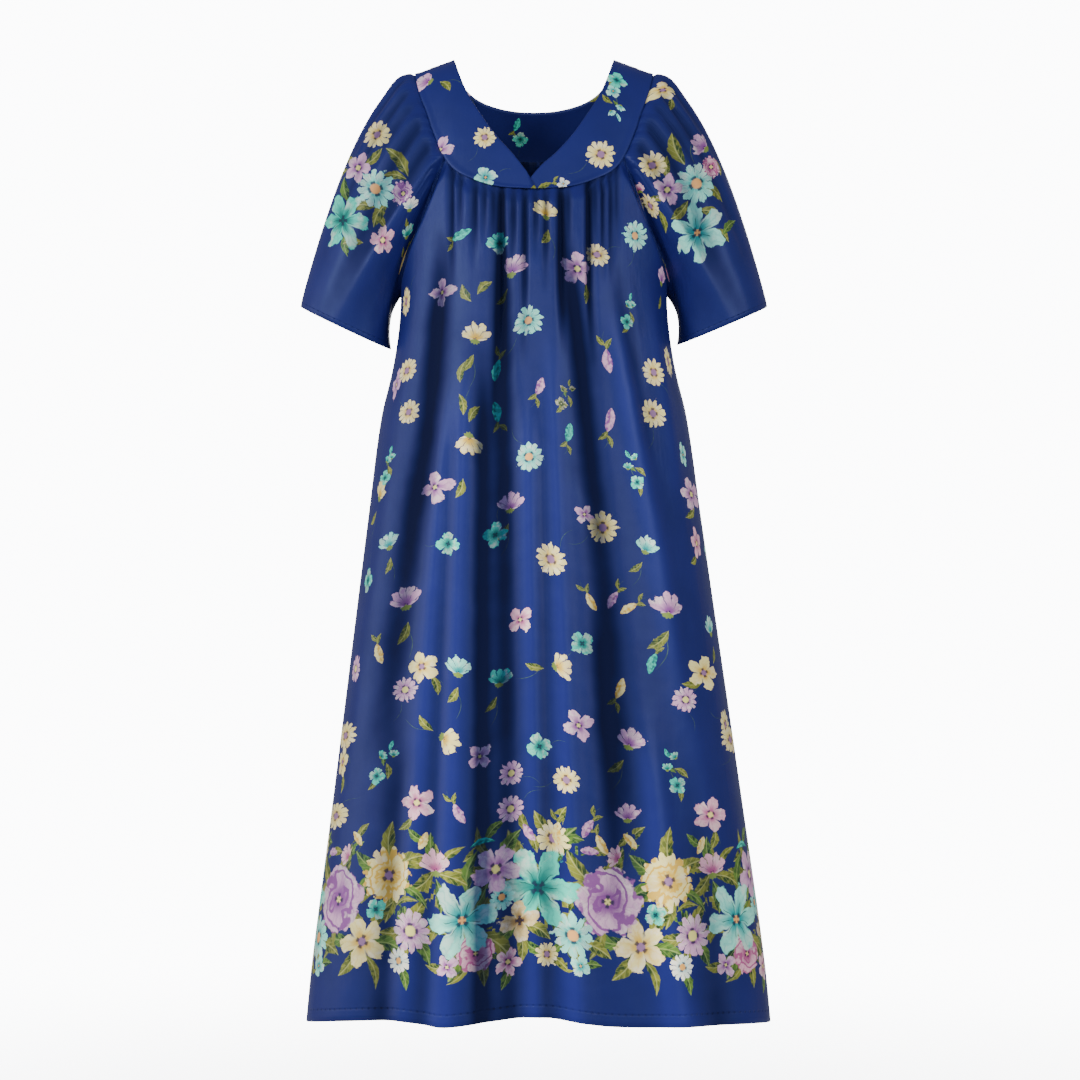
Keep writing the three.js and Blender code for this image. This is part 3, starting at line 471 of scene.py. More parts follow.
SCATTERED = sprays("""
    bud teal 460 235 9 200, clover teal 500 243 10 90, carnation lilac 513 272 15 250,
    carnation cream 546 215 13 280, blossom lilac 577 268 15 300, daisy cream 596 254 10 20,
    daisy aqua 634 236 13 240, four_petal lilac 443 292 13 270, sprig teal 628 312 12 60,
    daisy aqua 529 320 13 230, carnation cream 474 341 15 270, daisy cream 408 370 11 200,
    daisy cream 409 413 11 150, daisy cream 654 372 12 320, daisy cream 654 414 13 250,
    bud teal 497 369 9 80, bud teal 497 411 9 280, bud lilac 607 361 10 100, bud lilac 610 420 10 260,
    carnation cream 469 440 15 90, daisy aqua 529 458 13 120, sprig teal 388 468 12 70,
    sprig teal 635 471 12 110, four_petal lilac 435 487 14 280, blossom lilac 690 493 14 250,
    daisy cream 602 528 14 210, four_petal lilac 584 515 9 150, carnation lilac 511 506 14 260,
    clover teal 495 537 11 80, clover teal 448 546 10 180, carnation aqua 391 546 12 290,
    carnation aqua 645 551 12 250, daisy cream 551 561 14 60, carnation lilac 405 604 17 280,
    carnation lilac 668 611 18 260, four_petal pink 521 618 12 40, bud cream 591 601 8 120,
    bud lilac 613 601 8 60, bud cream 628 610 8 30, clover teal 583 643 11 220,
    carnation cream 556 666 14 200, blossom cream 423 665 14 320, daisy lilac 405 691 11 250,
    blossom cream 703 673 15 220, daisy lilac 685 700 11 290, bud cream 378 654 9 110,
    bud teal 652 661 9 70, carnation aqua 458 674 14 270, carnation teal 500 684 13 260,
    four_petal lilac 578 723 14 300, bud cream 619 689 9 250, carnation lilac 630 746 15 250,
    carnation cream 443 738 14 160, daisy cream 346 736 12 300, daisy cream 730 739 12 230,
    sprig teal 384 763 14 60, sprig teal 675 771 14 110, clover teal 539 748 11 20,
    four_petal lilac 481 758 12 220, daisy lilac 511 771 11 340, daisy cream 567 781 12 200,
    daisy lilac 511 807 12 30, blossom pink 418 803 15 250, blossom pink 711 813 15 290,
    daisy cream 336 816 12 30, carnation lilac 627 821 13 270, bud cream 557 834 9 90,
    bud lilac 588 826 9 60, bud cream 602 846 9 120, bud lilac 458 812 9 120, bud lilac 540 385 8 250,
    sprig olive 566 395 10 70, leaf olive 466 292 9 120, leaf olive 484 288 9 50, leaf olive 462 372 9 80,
    leaf olive 462 406 9 280, leaf olive 461 488 9 250, bud teal 569 430 8 260, clover aqua 708 553 9 60""")
# flowers that hang close to the side seams, at a height above the hem in millimetres
BESIDE_SEAM = sprays("""
    -1 960 daisy cream 13 40, -1 850 four_petal lilac 14 0, -1 700 carnation cream 15 250,
    -1 590 clover teal 11 90, -1 470 daisy lilac 12 200, -1 350 blossom cream 14 300,
    1 990 carnation lilac 14 260, 1 880 daisy cream 13 100, 1 760 clover aqua 11 30,
    1 640 blossom pink 14 240, 1 520 carnation aqua 14 280, 1 400 daisy cream 13 160""",
    "side height kind tint size turn")

# %% [markdown]
# The border above the hem is one dense garland. Its order here is this dress's own: large open lilies and
# roses stand at even steps, with daisies and leaves packed between them, and a plain blue band is left
# below. It is laid out by rule around the whole hem, which a printed border does as well, since it repeats.

# %% The garland above the hem, one repeat of it
GARLAND_REPEAT = 392
GARLAND = {
    "kind": "lily daisy rose blossom dahlia daisy carnation lily blossom four_petal daisy rose".split(),
    "tint": "teal aqua lilac cream cream lilac pink aqua lilac tan cream pink".split(),
    "along": (0, 48, 96, 140, 178, 214, 250, 288, 334, 366, 22, 306),
    "height": (168, 112, 162, 104, 190, 118, 200, 138, 198, 126, 234, 92),
    "size": (60, 31, 48, 37, 40, 30, 29, 54, 36, 30, 25, 28),
}
GARLAND_FILL = {
    "kind": """bud carnation clover daisy bud four_petal sprig blossom bud daisy clover bud
               sprig daisy""".split(),
    "tint": "lilac pink teal white cream lilac teal pink lilac cream aqua cream olive aqua".split(),
    "along": (72, 112, 160, 196, 232, 268, 316, 350, 380, 12, 58, 128, 206, 342),
    "height": (226, 218, 146, 78, 236, 78, 236, 74, 240, 82, 74, 242, 156, 160),
    "size": (13, 18, 16, 19, 13, 18, 18, 20, 14, 17, 15, 13, 19, 19),
}


def garland():
    """Every motif of one repeat: flowers over the leaves that fan out behind them."""
    for rows, leaves in ((GARLAND, 6), (GARLAND_FILL, 2)):
        for number, (kind, tint, along, height, size) in enumerate(zip(*rows.values())):
            for leaf in range(leaves):
                turn = 360 * leaf / leaves + 37 * number
                reach = size * (1.12 if leaf % 2 else 0.9)
                yield {"kind": "sprig" if leaf % 4 == 3 else "leaf", "turn": turn, "rank": 1,
                       "tint": ("olive", "green", "olive")[(leaf + number) % 3], "size": size * 0.42 + 11,
                       "s": along + reach * math.cos(math.radians(turn)),
                       "h": height + reach * math.sin(math.radians(turn))}
            yield {"kind": kind, "tint": tint, "turn": 61 * number, "rank": 3,
                   "s": along, "h": height, "size": size}


print("garland motifs in a repeat:", len(list(garland())))

# %% [markdown]
# A spray is one flower with its stem and leaves. Each of its motifs gets a centre in the cloth's own
# coordinates, a size in millimetres and a turn, and a rank that says what is printed over what.

# %% Make whole sprays out of single rows
BLOOM_SCALE = 1.2
# how long a stem is, in radii of its flower, and how many leaves it has
GREENERY = {"daisy": (0.8, 0), "blossom": (0.5, 1), "carnation": (0.9, 1), "clover": (0.7, 0),
            "bud": (0.8, 2)}
# a hanging sprig: its parts, each with its place along and across, size, turn, own tint and rank
SPRIG = (("clover", -0.75, 0.1, 0.55, 20, None, 3), ("carnation", 0.35, 0.42, 0.42, 250, None, 3),
         ("carnation", 0.8, -0.35, 0.38, 290, None, 3), ("bud", 1.25, 0.1, 0.3, 10, None, 2),
         ("leaf", -0.15, -0.45, 0.5, 215, "olive", 2), ("leaf", -1.3, 0.1, 0.45, 170, "olive", 2),
         ("leaf", 0.3, 0.1, 0.36, 20, "green", 1), ("stem", 0.1, 0, 1.25, 0, "green", 1))


def spray_motifs(kind, tint, centre, size, turn):
    """A flower or bud with a stem that runs off at the given turn, and the leaves on it."""
    radius, angle = size * PHOTO_MM * BLOOM_SCALE, math.radians(turn)
    along = np.array([math.cos(angle), math.sin(angle)])
    across = np.array([-math.sin(angle), math.cos(angle)])
    motif = lambda kind, tint, shift, size, turn, rank: {
        "kind": kind, "tint": tint, "centre": centre + shift, "size": size, "turn": turn, "rank": rank}
    if kind == "sprig":
        for part, step, off, size, lean, colour, rank in SPRIG:
            shift = radius * (step * along + off * across)
            yield motif(part, colour or tint, shift, radius * size, turn + lean, rank)
        return
    yield motif(kind, tint, 0 * along, radius, turn + (90 if kind in ("carnation", "clover") else 0), 3)
    stem, leaves = GREENERY.get(kind, (0, 0))
    if stem:
        yield motif("stem", "green", (0.9 + stem) * radius * along, radius * stem, turn, 1)
    for side, place in ((-1, 1.35), (1, 1.7))[:leaves]:
        shift = radius * (place * along + 0.3 * side * across)
        yield motif("leaf", "olive", shift, radius * 0.6, turn + 34 * side, 2)


def seen_from_front(place):
    """Where a point in millimetres shows in the photograph, in its pixels."""
    shrink = CAMERA_AWAY / (CAMERA_AWAY + place[..., 1])
    return (PHOTO_MIDDLE + ((place[..., 0] - CAMERA_X) * shrink + CAMERA_X) / PHOTO_MM,
            PHOTO_SHOULDER - ((place[..., 2] - CAMERA_Z) * shrink + CAMERA_Z) / PHOTO_MM)


def placed(rows, grid, cloth, tube=False):
    """Rows of sprays, moved from where they show to the cloth's own coordinates.

    Where the cloth turns away from the front, a flower is made a little wider, as it is printed there."""
    px, py = seen_from_front(grid)
    widest = WIDEST_ON_SLEEVE if tube else WIDEST
    middle = grid[..., 1].mean(axis=1, keepdims=True)
    hidden = (grid[..., 1] > middle) & tube
    motifs = []
    for row in rows:
        away = np.hypot(px - row["px"], py - row["py"]) + HIDDEN_AWAY * hidden
        i, j = np.unravel_index(np.argmin(away), away.shape)
        if away[i, j] > REACH_OF_PLACE:
            continue
        beside = np.clip([j - COLUMNS_BESIDE, j + COLUMNS_BESIDE], 0, px.shape[1] - 1)
        shown, run = abs(np.diff(px[i, beside])[0]) * PHOTO_MM, abs(np.diff(cloth[i, beside, 0])[0])
        wide = np.clip(run / max(shown, 0.1), 1, widest)
        motifs += [{**motif, "wide": wide} for motif in
                   spray_motifs(row["kind"], row["tint"], cloth[i, j], row["size"], row["turn"])]
    return motifs


def beside_seam(cloth):
    """The flowers close to the side seams, which hardly show from the front."""
    motifs, inset = [], round(SIDE_INSET * cloth.shape[1])
    for spray in BESIDE_SEAM:
        column = inset if spray["side"] < 0 else -1 - inset
        row = np.argmin(np.abs(cloth[:, column, 1] - spray["height"]))
        motifs += spray_motifs(spray["kind"], spray["tint"], cloth[row, column], spray["size"], spray["turn"])
    return motifs


def garland_motifs(width, start=0):
    """The garland's repeats, side by side across a panel."""
    motifs = []
    for repeat in range(-3, 4):
        for row in garland():
            along = row["s"] + start + repeat * GARLAND_REPEAT
            if abs(along) < width:
                motifs.append({**row, "centre": np.array([along, row["h"]])})
    return motifs


# %% [markdown]
# A sheet is made from rows and columns of points. Its faces are quads, so that folds run along them, and it
# gets its thickness from a Solidify modifier, which also gives the wrong side its own material. The motifs
# are sorted by rank, and each face keeps the four that lie on top there.

# %% Make a sheet of printed cloth
FAR_OFF, SEED_STEP, MOTIF_REACH, BLADE_MARGIN = 9.0, 0.37, 1.05, 0.25


def orient(grid, inside):
    """True where the rows and columns must swap ends for the faces to look away from the inside."""
    down, right = np.diff(grid, axis=0)[:, :-1], np.diff(grid, axis=1)[:-1]
    return np.sum(np.cross(down, right) * (grid - inside)[:-1, :-1]) < 0


def print_layers(cloth, quads, motifs):
    """For each face: the motifs printed there, and each corner's place in them."""
    corners = cloth.reshape(-1, 2)[quads]
    middle = corners.mean(axis=1)
    reach = np.linalg.norm(corners - middle[:, None], axis=2).max(axis=1)
    local = np.full((LAYERS, len(quads), 4, 3), FAR_OFF)
    style = np.zeros((LAYERS, len(quads), 3))
    used = np.zeros(len(quads), int)
    for number, motif in sorted(enumerate(motifs), key=lambda item: -item[1]["rank"]):
        stretch = np.array([1 / motif.get("wide", 1), 1]) / motif["size"]
        away = np.linalg.norm((middle - motif["centre"]) * stretch, axis=1)
        near = away < MOTIF_REACH + reach / motif["size"]
        faces = np.flatnonzero(near & (used < LAYERS))
        angle = math.radians(motif["turn"])
        turned = np.array([[math.cos(angle), -math.sin(angle)], [math.sin(angle), math.cos(angle)]])
        place = (corners[faces] - motif["centre"]) * stretch @ turned
        if KINDS.index(motif["kind"]) >= BLADES:
            touched = np.abs(place[..., 1]).min(axis=1) < BLADE_SHAPES[motif["kind"]][0] + BLADE_MARGIN
            faces, place = faces[touched], place[touched]
        layer = LAYERS - 1 - used[faces]
        local[layer, faces, :, :2] = place
        local[layer, faces, :, 2] = (number * SEED_STEP) % 1
        kind, tint = KINDS.index(motif["kind"]), TINT_NAMES.index(motif["tint"])
        style[layer, faces] = [(kind + 0.5) / RAMP_ROOM, (tint + 0.5) / RAMP_ROOM, 1]
        used[faces] += 1
    return local, style


def clear_selection():
    for other in bpy.context.selected_objects:
        other.select_set(False)


def make_sheet(name, grid, cloth, edges, inside, motifs, wall=PANEL_CLOTH, closed=False):
    """A thin shell of cloth over a grid of points, all in millimetres."""
    rows, columns = grid.shape[:2]
    own = columns - 1 if closed else columns
    r, c = np.meshgrid(np.arange(rows - 1), np.arange(columns - 1), indexing="ij")
    first = r * columns + c
    quads = np.stack([first, first + columns, first + columns + 1, first + 1], axis=-1).reshape(-1, 4)
    if orient(grid, inside):
        quads = quads[:, ::-1]
    vertex = (quads // columns) * own + (quads % columns) % own
    mesh = bpy.data.meshes.new(name)
    mesh.from_pydata((grid[:, :own].reshape(-1, 3) * MM).tolist(), [], vertex.tolist())
    uv = mesh.uv_layers.new(name="cloth")
    uv.data.foreach_set("uv", (cloth.reshape(-1, 2)[quads] * MM).astype(np.float32).ravel())
    # distances to the hem and seams, and in the third part the painted shade value of the folds
    edges_and_shade = mesh.attributes.new("edges", "FLOAT_VECTOR", "POINT")
    edges_and_shade.data.foreach_set("vector", (edges[:, :own].reshape(-1, 3) * MM).astype(np.float32).ravel())
    local, style = print_layers(cloth, quads, motifs)
    for layer in range(LAYERS):
        spots = mesh.attributes.new(f"motif_{layer + 1}", "FLOAT_VECTOR", "CORNER")
        spots.data.foreach_set("vector", local[layer].astype(np.float32).ravel())
        styles = mesh.attributes.new(f"style_{layer + 1}", "FLOAT_VECTOR", "FACE")
        styles.data.foreach_set("vector", style[layer].astype(np.float32).ravel())
    for material in CLOTHS:
        mesh.materials.append(material)
    mesh.polygons.foreach_set("use_smooth", np.ones(len(mesh.polygons), bool))
    piece = bpy.data.objects.new(name, mesh)
    bpy.context.scene.collection.objects.link(piece)
    clear_selection()
    bpy.context.view_layer.objects.active = piece
    piece.select_set(True)
    shell = piece.modifiers.new("thickness", "SOLIDIFY")
    shell.thickness, shell.offset = wall * MM, 0
    shell.material_offset = 1
    bpy.ops.object.modifier_apply(modifier=shell.name)
    clear_selection()
    triangles = sum(len(face.vertices) - 2 for face in piece.data.polygons)
    print(f"{name}: {len(motifs)} motifs, {triangles} triangles")
    return piece


# %% [markdown]
# A shader group draws one motif. It is given a point's place in the motif, from -1 to 1, and the motif's
# kind and colours, and it puts out the colour there. Petals come from one formula, the length of a cosine
# that is bent by a power: a small power gives round petals, and a large one gives pointed ones. A noise
# that moves with the motif then makes edges uneven and colours patchy, so that the print looks painted with
# a brush.

# %% The group that draws a motif
def operator(kind, swapped=False):
    return lambda self, other: self.nodes.maths(kind, *((other, self) if swapped else (self, other)))


class Flow:
    """A number that flows from node to node, so that a shader's formula can be written as arithmetic."""

    def __init__(self, nodes, socket):
        self.nodes, self.socket = nodes, socket

    def clamped(self):
        self.socket.node.use_clamp = True
        return self

    def __abs__(self):
        return self.nodes.maths("ABSOLUTE", self)

    __add__, __radd__ = operator("ADD"), operator("ADD", True)
    __sub__, __rsub__ = operator("SUBTRACT"), operator("SUBTRACT", True)
    __mul__, __rmul__ = operator("MULTIPLY"), operator("MULTIPLY", True)
    __truediv__, __pow__ = operator("DIVIDE"), operator("POWER")


class Nodes:
    """Short words for making shader nodes in one tree."""

    def __init__(self, tree):
        self.tree = tree

    def add(self, kind, **settings):
        node = self.tree.nodes.new(kind)
        for name, value in settings.items():
            setattr(node, name, value)
        return node

    def feed(self, socket, value):
        value = value.socket if isinstance(value, Flow) else value
        if isinstance(value, bpy.types.NodeSocket):
            self.tree.links.new(value, socket)
        else:
            socket.default_value = value

    def fed(self, node, given):
        """The same node, its inputs fed by name or by number."""
        for socket, value in given.items():
            self.feed(node.inputs[socket], value)
        return node

    def maths(self, operation, *values):
        node = self.add("ShaderNodeMath", operation=operation)
        for socket, value in zip(node.inputs, values):
            self.feed(socket, value)
        return Flow(self, node.outputs[0])

    def sine(self, value):
        return self.maths("SINE", value)

    def distance(self, x, y):
        return self.maths("SQRT", x * x + y * y)

    def ease(self, value, low, high):
        node = self.add("ShaderNodeMapRange", interpolation_type="SMOOTHSTEP")
        return Flow(self, self.fed(node, {0: value, 1: low, 2: high}).outputs[0])

    def mix(self, share, first, second, blend="MIX"):
        node = self.add("ShaderNodeMix", data_type="RGBA", blend_type=blend)
        return self.fed(node, {0: share, 6: first, 7: second}).outputs[2]

    def choose(self, share, first, second):
        node = self.add("ShaderNodeMix", data_type="FLOAT")
        return Flow(self, self.fed(node, {0: share, 2: first, 3: second}).outputs[0])

    def parts(self, vector):
        node = self.fed(self.add("ShaderNodeSeparateXYZ"), {0: vector})
        return [Flow(self, part) for part in node.outputs]

    def noise(self, vector, scale, detail=2, flat=False):
        """A cloudy value, and three of them together as a colour."""
        node = self.add("ShaderNodeTexNoise", noise_dimensions="2D" if flat else "3D")
        self.fed(node, {"Vector": vector, "Scale": scale, "Detail": detail})
        return Flow(self, node.outputs[0]), node.outputs[1]

    def stretched(self, vector, scale):
        return self.fed(self.add("ShaderNodeMapping"), {"Vector": vector, "Scale": scale}).outputs[0]

    def attribute(self, name):
        return self.add("ShaderNodeAttribute", attribute_name=name).outputs["Vector"]

    def lookup(self, place, rows):
        """A list of values, read by a place from 0 to 1 in sixteenths."""
        ramp = self.add("ShaderNodeValToRGB")
        ramp.color_ramp.interpolation = "CONSTANT"
        elements = ramp.color_ramp.elements
        while len(elements) < len(rows):
            elements.new(1)
        for number in range(len(rows)):
            elements[number].position = number / RAMP_ROOM
        for number, row in enumerate(rows):
            elements[number].color = tuple(row) + (1,) * (4 - len(row))
        self.feed(ramp.inputs[0], place)
        return ramp.outputs


def new_group(name, inputs, outputs):
    group = bpy.data.node_groups.new(name, "ShaderNodeTree")
    for direction, sockets in (("INPUT", inputs), ("OUTPUT", outputs)):
        for socket, kind in sockets.items():
            group.interface.new_socket(socket, in_out=direction, socket_type=f"NodeSocket{kind}")
    nodes = Nodes(group)
    return group, nodes, nodes.add("NodeGroupInput").outputs, nodes.add("NodeGroupOutput").inputs


def hex_colour(text):
    return (*linear(text), 1)


def petals(n, x, y, seed, shape, kinds, brush):
    """The edge of a flower seen from above, or of a carnation seen from its side, and places in it."""
    petal_share, notch, point, _ = shape
    wash, _, speck = brush
    radius = n.distance(x, y)
    angle = (wash - 0.5) * 0.55 + n.maths("ARCTAN2", y, x)
    turn = angle * (n.maths("ROUND", petal_share * MOST_PETALS) * 0.5)
    lobe = abs(n.maths("COSINE", turn))
    edge = 1 - notch * (1 - lobe ** (point * 1.3 + 0.25))
    up = y / n.maths("MAXIMUM", radius, 0.01)
    edge = edge * n.choose(kinds["fan"], 1, n.ease(up, -0.15, 0.5) * 0.66 + 0.34)
    edge = edge * ((speck - 0.5) * 0.6 + 0.95)
    own = n.add("ShaderNodeTexWhiteNoise", noise_dimensions="1D")
    petal = n.maths("ROUND", turn / math.pi)
    n.feed(own.inputs["W"], n.maths("MULTIPLY_ADD", seed, 50, petal))
    return edge, {"radius": radius, "angle": angle, "turn": turn, "lobe": lobe, "up": up, "seed": seed,
                  "out": radius / n.maths("MAXIMUM", edge, 0.05), "tone": Flow(n, own.outputs["Value"])}


def painted(n, at, colours, kinds, brush, ground, centre):
    """The colours of the petals: washed from foot to tip, lit in patches, streaked, ringed and parted."""
    tip, foot, _ = colours
    wash, patch, speck = brush
    colour = n.mix(n.ease(at["out"], 0.12, 0.7), foot, tip)
    lit = n.ease((at["tone"] - 0.5) * 0.35 + patch, 0.44, 0.66) * n.ease(at["out"], 0.3, 0.75)
    colour = n.mix(lit * 0.6, colour, hex_colour("fffcf6"))
    streaks = n.ease(n.sine(at["turn"] * 7 + wash * 9), 0.2, 1)
    dim = (streaks * 0.22 + n.ease(at["tone"], 0.5, 1) * 0.4).clamped()
    whorl = n.sine((at["radius"] * -3.5 + at["angle"]) * 2 + at["seed"] * 30)
    rings = n.sine((whorl * 2.6 + at["radius"] * 15) + (at["lobe"] * 1.6 + patch * 7))
    ring = kinds["ringed"] * n.ease(rings, 0, 0.8) * 0.95
    colour = n.mix(n.maths("MAXIMUM", dim, ring), colour, foot)
    gap = (1 - n.ease(at["lobe"], 0.08, 0.34)) * n.ease(at["radius"], centre * 1.1, centre + 0.4)
    gap = gap * n.ease(speck, 0.38, 0.52) * (1 - kinds["ringed"])
    return n.mix(gap * 0.85, colour, ground)


def bloom(n, x, y, seed, shape, colours, kinds, brush, ground):
    """The mask and the colour of a flower, with its heart, the strokes round it, its stamens or its calyx."""
    centre = shape[3]
    edge, at = petals(n, x, y, seed, shape, kinds, brush)
    mask = ((edge - at["radius"]) / SOFT_EDGE).clamped()
    colour = painted(n, at, colours, kinds, brush, ground, centre)
    radius, angle = at["radius"], at["angle"]
    colour = n.mix(1 - n.ease(radius, centre * 0.8, centre * 1.15), colour, colours[2])
    strokes = n.ease(n.sine(angle * 4 + seed * 30), -0.3, 0.4)
    stroke = (1 - n.ease(abs(radius - centre * 1.15), 0.03, 0.1)) * strokes
    colour = n.mix(stroke * 0.85, colour, hex_colour("1d1c40"))
    stamens = 1 - n.ease(abs(n.sine(angle * 4.5)), 0.05, 0.24)
    stamens = stamens * (n.ease(radius, 0.08, 0.12) - n.ease(radius, 0.4, 0.5))
    colour = n.mix(stamens * kinds["lily"] * 0.8, colour, hex_colour("12494a"))
    calyx = kinds["fan"] * (1 - n.ease(at["up"], -0.32, -0.1))
    return mask, n.mix(calyx, colour, hex_colour("7d9442"))


def blade(n, x, y, shape, colours, brush):
    """The mask and the colour of a leaf, stem or bud, which all lie along one bent line."""
    width, bend, point, vein = shape
    tip, foot, heart = colours
    _, patch, speck = brush
    arch = n.sine((x * 0.5 + 0.5).clamped() * math.pi)
    above = y - (arch - 0.5) * bend
    off = abs(above)
    wide = width * arch ** (point * 1.1 + 0.25) * (speck * 0.8 + 0.6)
    mask = ((wide - off) / SOFT_EDGE).clamped()
    lit = (n.ease(above, -0.04, 0.05) * 0.45 + n.ease(patch, 0.38, 0.68)).clamped()
    side_veins = n.ease(n.sine(x * 17 - off * 26), 0.75, 1) * 0.45
    veins = n.maths("MAXIMUM", 1 - n.ease(off, 0.012, 0.05), side_veins)
    return mask, n.mix(veins * (vein * 0.55), n.mix(lit, foot, tip), heart)


def motif_group():
    group, n, given, result = new_group(
        "printed motif", {"Ground": "Color", "Place": "Vector", "Style": "Vector"}, {"Color": "Color"})
    x, y, seed = n.parts(given["Place"])
    kind, tint, present = n.parts(given["Style"])
    ramp = n.lookup(kind, [BLOOM_SHAPES.get(name) or BLADE_SHAPES[name] for name in KINDS])
    shape = (*n.parts(ramp["Color"]), Flow(n, ramp["Alpha"]))
    colours = [n.lookup(tint, [linear(TINTS[name][i]) for name in TINT_NAMES])["Color"] for i in range(3)]
    brush = n.parts(n.noise(n.stretched(given["Place"], (1, 1, 9)), 3.2, detail=3)[1])
    is_blade = n.maths("GREATER_THAN", kind, BLADES / RAMP_ROOM)
    is_kind = lambda name: n.maths("COMPARE", kind, (KINDS.index(name) + 0.5) / RAMP_ROOM, 0.01)
    kinds = {"fan": is_kind("carnation"), "lily": is_kind("lily"),
             "ringed": n.maths("GREATER_THAN", kind, KINDS.index("rose") / RAMP_ROOM)
             * n.maths("LESS_THAN", kind, KINDS.index("carnation") / RAMP_ROOM)}
    bloom_mask, flower = bloom(n, x, y, seed, shape, colours, kinds, brush, given["Ground"])
    blade_mask, leaf = blade(n, x, y, shape, colours, brush)
    inside = n.maths("LESS_THAN", abs(x), 1.3)
    mask = n.choose(is_blade, bloom_mask, blade_mask) * present * inside
    n.feed(result["Color"], n.mix(mask, given["Ground"], n.mix(is_blade, flower, leaf)))
    return group


# %% [markdown]
# Satin is a smooth weave with a soft, broad shine along its folds. The printed face and its duller wrong
# side share one group for the cloth's surface: fine crinkles that run down from the gathers, the weave
# itself, and the small dimples that a blind stitch leaves above the hem. The group also puts out a painted
# shade, which darkens the colour in fold troughs and stitch dimples, and lightens it on ridges as a painted
# highlight.

# %% The group for the cloth's surface, and the two materials
STITCH_LINE, STITCH_STEP, DEEP_ROUGHNESS = 15, 9, 0.9
# the colour is multiplied from painted deep shade in troughs to a painted highlight on ridges
DEEP_SHADE, PAINTED_HIGHLIGHT = (0.1, 0.12, 0.2, 1), (1.95, 1.85, 1.6, 1)
SATIN_SOCKETS = {"Specular IOR Level": 0.36, "Specular Tint": (0.5, 0.66, 1, 1), "Sheen Weight": 0.01,
                 "Sheen Roughness": 0.35, "Sheen Tint": (0.72, 0.78, 1, 1)}


def surface_group():
    group, n, given, result = new_group(
        "cloth surface", {"Cloth": "Vector", "Edges": "Vector"}, {"Height": "Float", "Shade": "Float"})
    crinkle, _ = n.noise(n.stretched(given["Cloth"], (95, 13, 1)), 1, detail=3, flat=True)
    # the third part is the painted shade value: trough depth, and below 0 on ridges for a painted highlight
    from_hem, from_seam, fold_shade_and_highlight = n.parts(given["Edges"])
    crinkle = crinkle * ((1 - n.ease(from_seam, 0.012, 0.14)) * 0.9 + 0.1)
    soft, _ = n.noise(given["Cloth"], 17, flat=True)
    wave = n.add("ShaderNodeTexWave", bands_direction="DIAGONAL")
    n.fed(wave, {"Vector": given["Cloth"], "Scale": 420, "Distortion": 1.5})
    across, _, _ = n.parts(given["Cloth"])
    pulse = n.ease(n.sine(across * (2 * math.pi / (STITCH_STEP * MM))), 0.1, 0.9)
    line = 1 - n.ease(abs(from_hem - STITCH_LINE * MM), 0.0004, 0.0022)
    dimple = line * (pulse * 0.7 + 0.3)
    height = soft * 0.5 + Flow(n, wave.outputs[1]) * 0.015 + crinkle
    n.feed(result["Height"], height - dimple * 0.35)
    # Shade: a random tone, with painted shade in fold troughs and stitch dimples and a painted highlight on
    # ridges
    n.feed(result["Shade"], (soft * 0.2 + 0.4 - fold_shade_and_highlight * 0.6 - dimple * 0.16).clamped())
    return group


def satin(name, ground, strength, roughness):
    """Printed cloth; strength is how much of the print shows on this side."""
    material = bpy.data.materials.new(name)
    material.use_nodes = True
    n = Nodes(material.node_tree)
    shader = material.node_tree.nodes["Principled BSDF"]
    cloth = n.add("ShaderNodeUVMap", uv_map="cloth").outputs[0]
    surface = n.add("ShaderNodeGroup", node_tree=SURFACE)
    n.fed(surface, {"Cloth": cloth, "Edges": n.attribute("edges")})
    plain = colour = hex_colour(ground)
    for layer in range(1, LAYERS + 1):
        motif = n.add("ShaderNodeGroup", node_tree=MOTIF)
        place, style = n.attribute(f"motif_{layer}"), n.attribute(f"style_{layer}")
        n.fed(motif, {"Ground": colour, "Place": place, "Style": style})
        colour = motif.outputs["Color"]
    # painted shade and highlight: the print's colour is darkened in troughs and lightened on ridges
    shade = n.mix(surface.outputs["Shade"], DEEP_SHADE, PAINTED_HIGHLIGHT)
    n.feed(shader.inputs["Base Color"], n.mix(1, n.mix(strength, plain, colour), shade, blend="MULTIPLY"))
    in_light = n.ease(surface.outputs["Shade"], 0.05, 0.5)
    n.feed(shader.inputs["Roughness"], n.choose(in_light, DEEP_ROUGHNESS, roughness))
    n.fed(shader, SATIN_SOCKETS)
    bump = n.add("ShaderNodeBump")
    n.fed(bump, {"Distance": 0.0035, "Strength": 0.55, "Height": surface.outputs["Height"]})
    n.feed(shader.inputs["Normal"], bump.outputs[0])
    return material


MOTIF, SURFACE = motif_group(), surface_group()
PRINTED = satin("printed satin", "1b2069", 1.0, 0.44)
WRONG_SIDE = satin("satin wrong side", "131a50", 0.4, 0.62)
CLOTHS = (PRINTED, WRONG_SIDE)
print("materials:", PRINTED.name, WRONG_SIDE.name)

# %% [markdown]
# Where cloth is sewn or hemmed its edge is folded back, which makes it thicker and rounds it. In a grid of
# points that is only a few more rows, which turn round the edge and run back inside it.

# %% Rows that turn an edge under
# Folds also get painted shade in their troughs and a painted highlight on their ridges, through the value
# made below
RIDGE_HIGHLIGHT_LIMIT, STEP_ACROSS, STEP_DOWN = -0.8, 1e-3, 0.01


def painted_shade_of(depth, deepest):
    """A trough's depth as a value up to 1, for painted shade there, and a ridge's height as a value below 0,
    for a painted highlight.
    """
    return np.clip(depth / deepest, RIDGE_HIGHLIGHT_LIMIT, 1) / MM


def grid_normals(surface, across, down):
    """Directions straight out of a surface, given as a function of two arrays."""
    du = surface(across + STEP_ACROSS, down) - surface(across - STEP_ACROSS, down)
    dv = surface(across, down + STEP_DOWN) - surface(across, down - STEP_DOWN)
    return unit(np.cross(du, dv))


def outward(normals, grid, inside):
    return normals * np.sign(np.sum(normals * (grid - inside)))


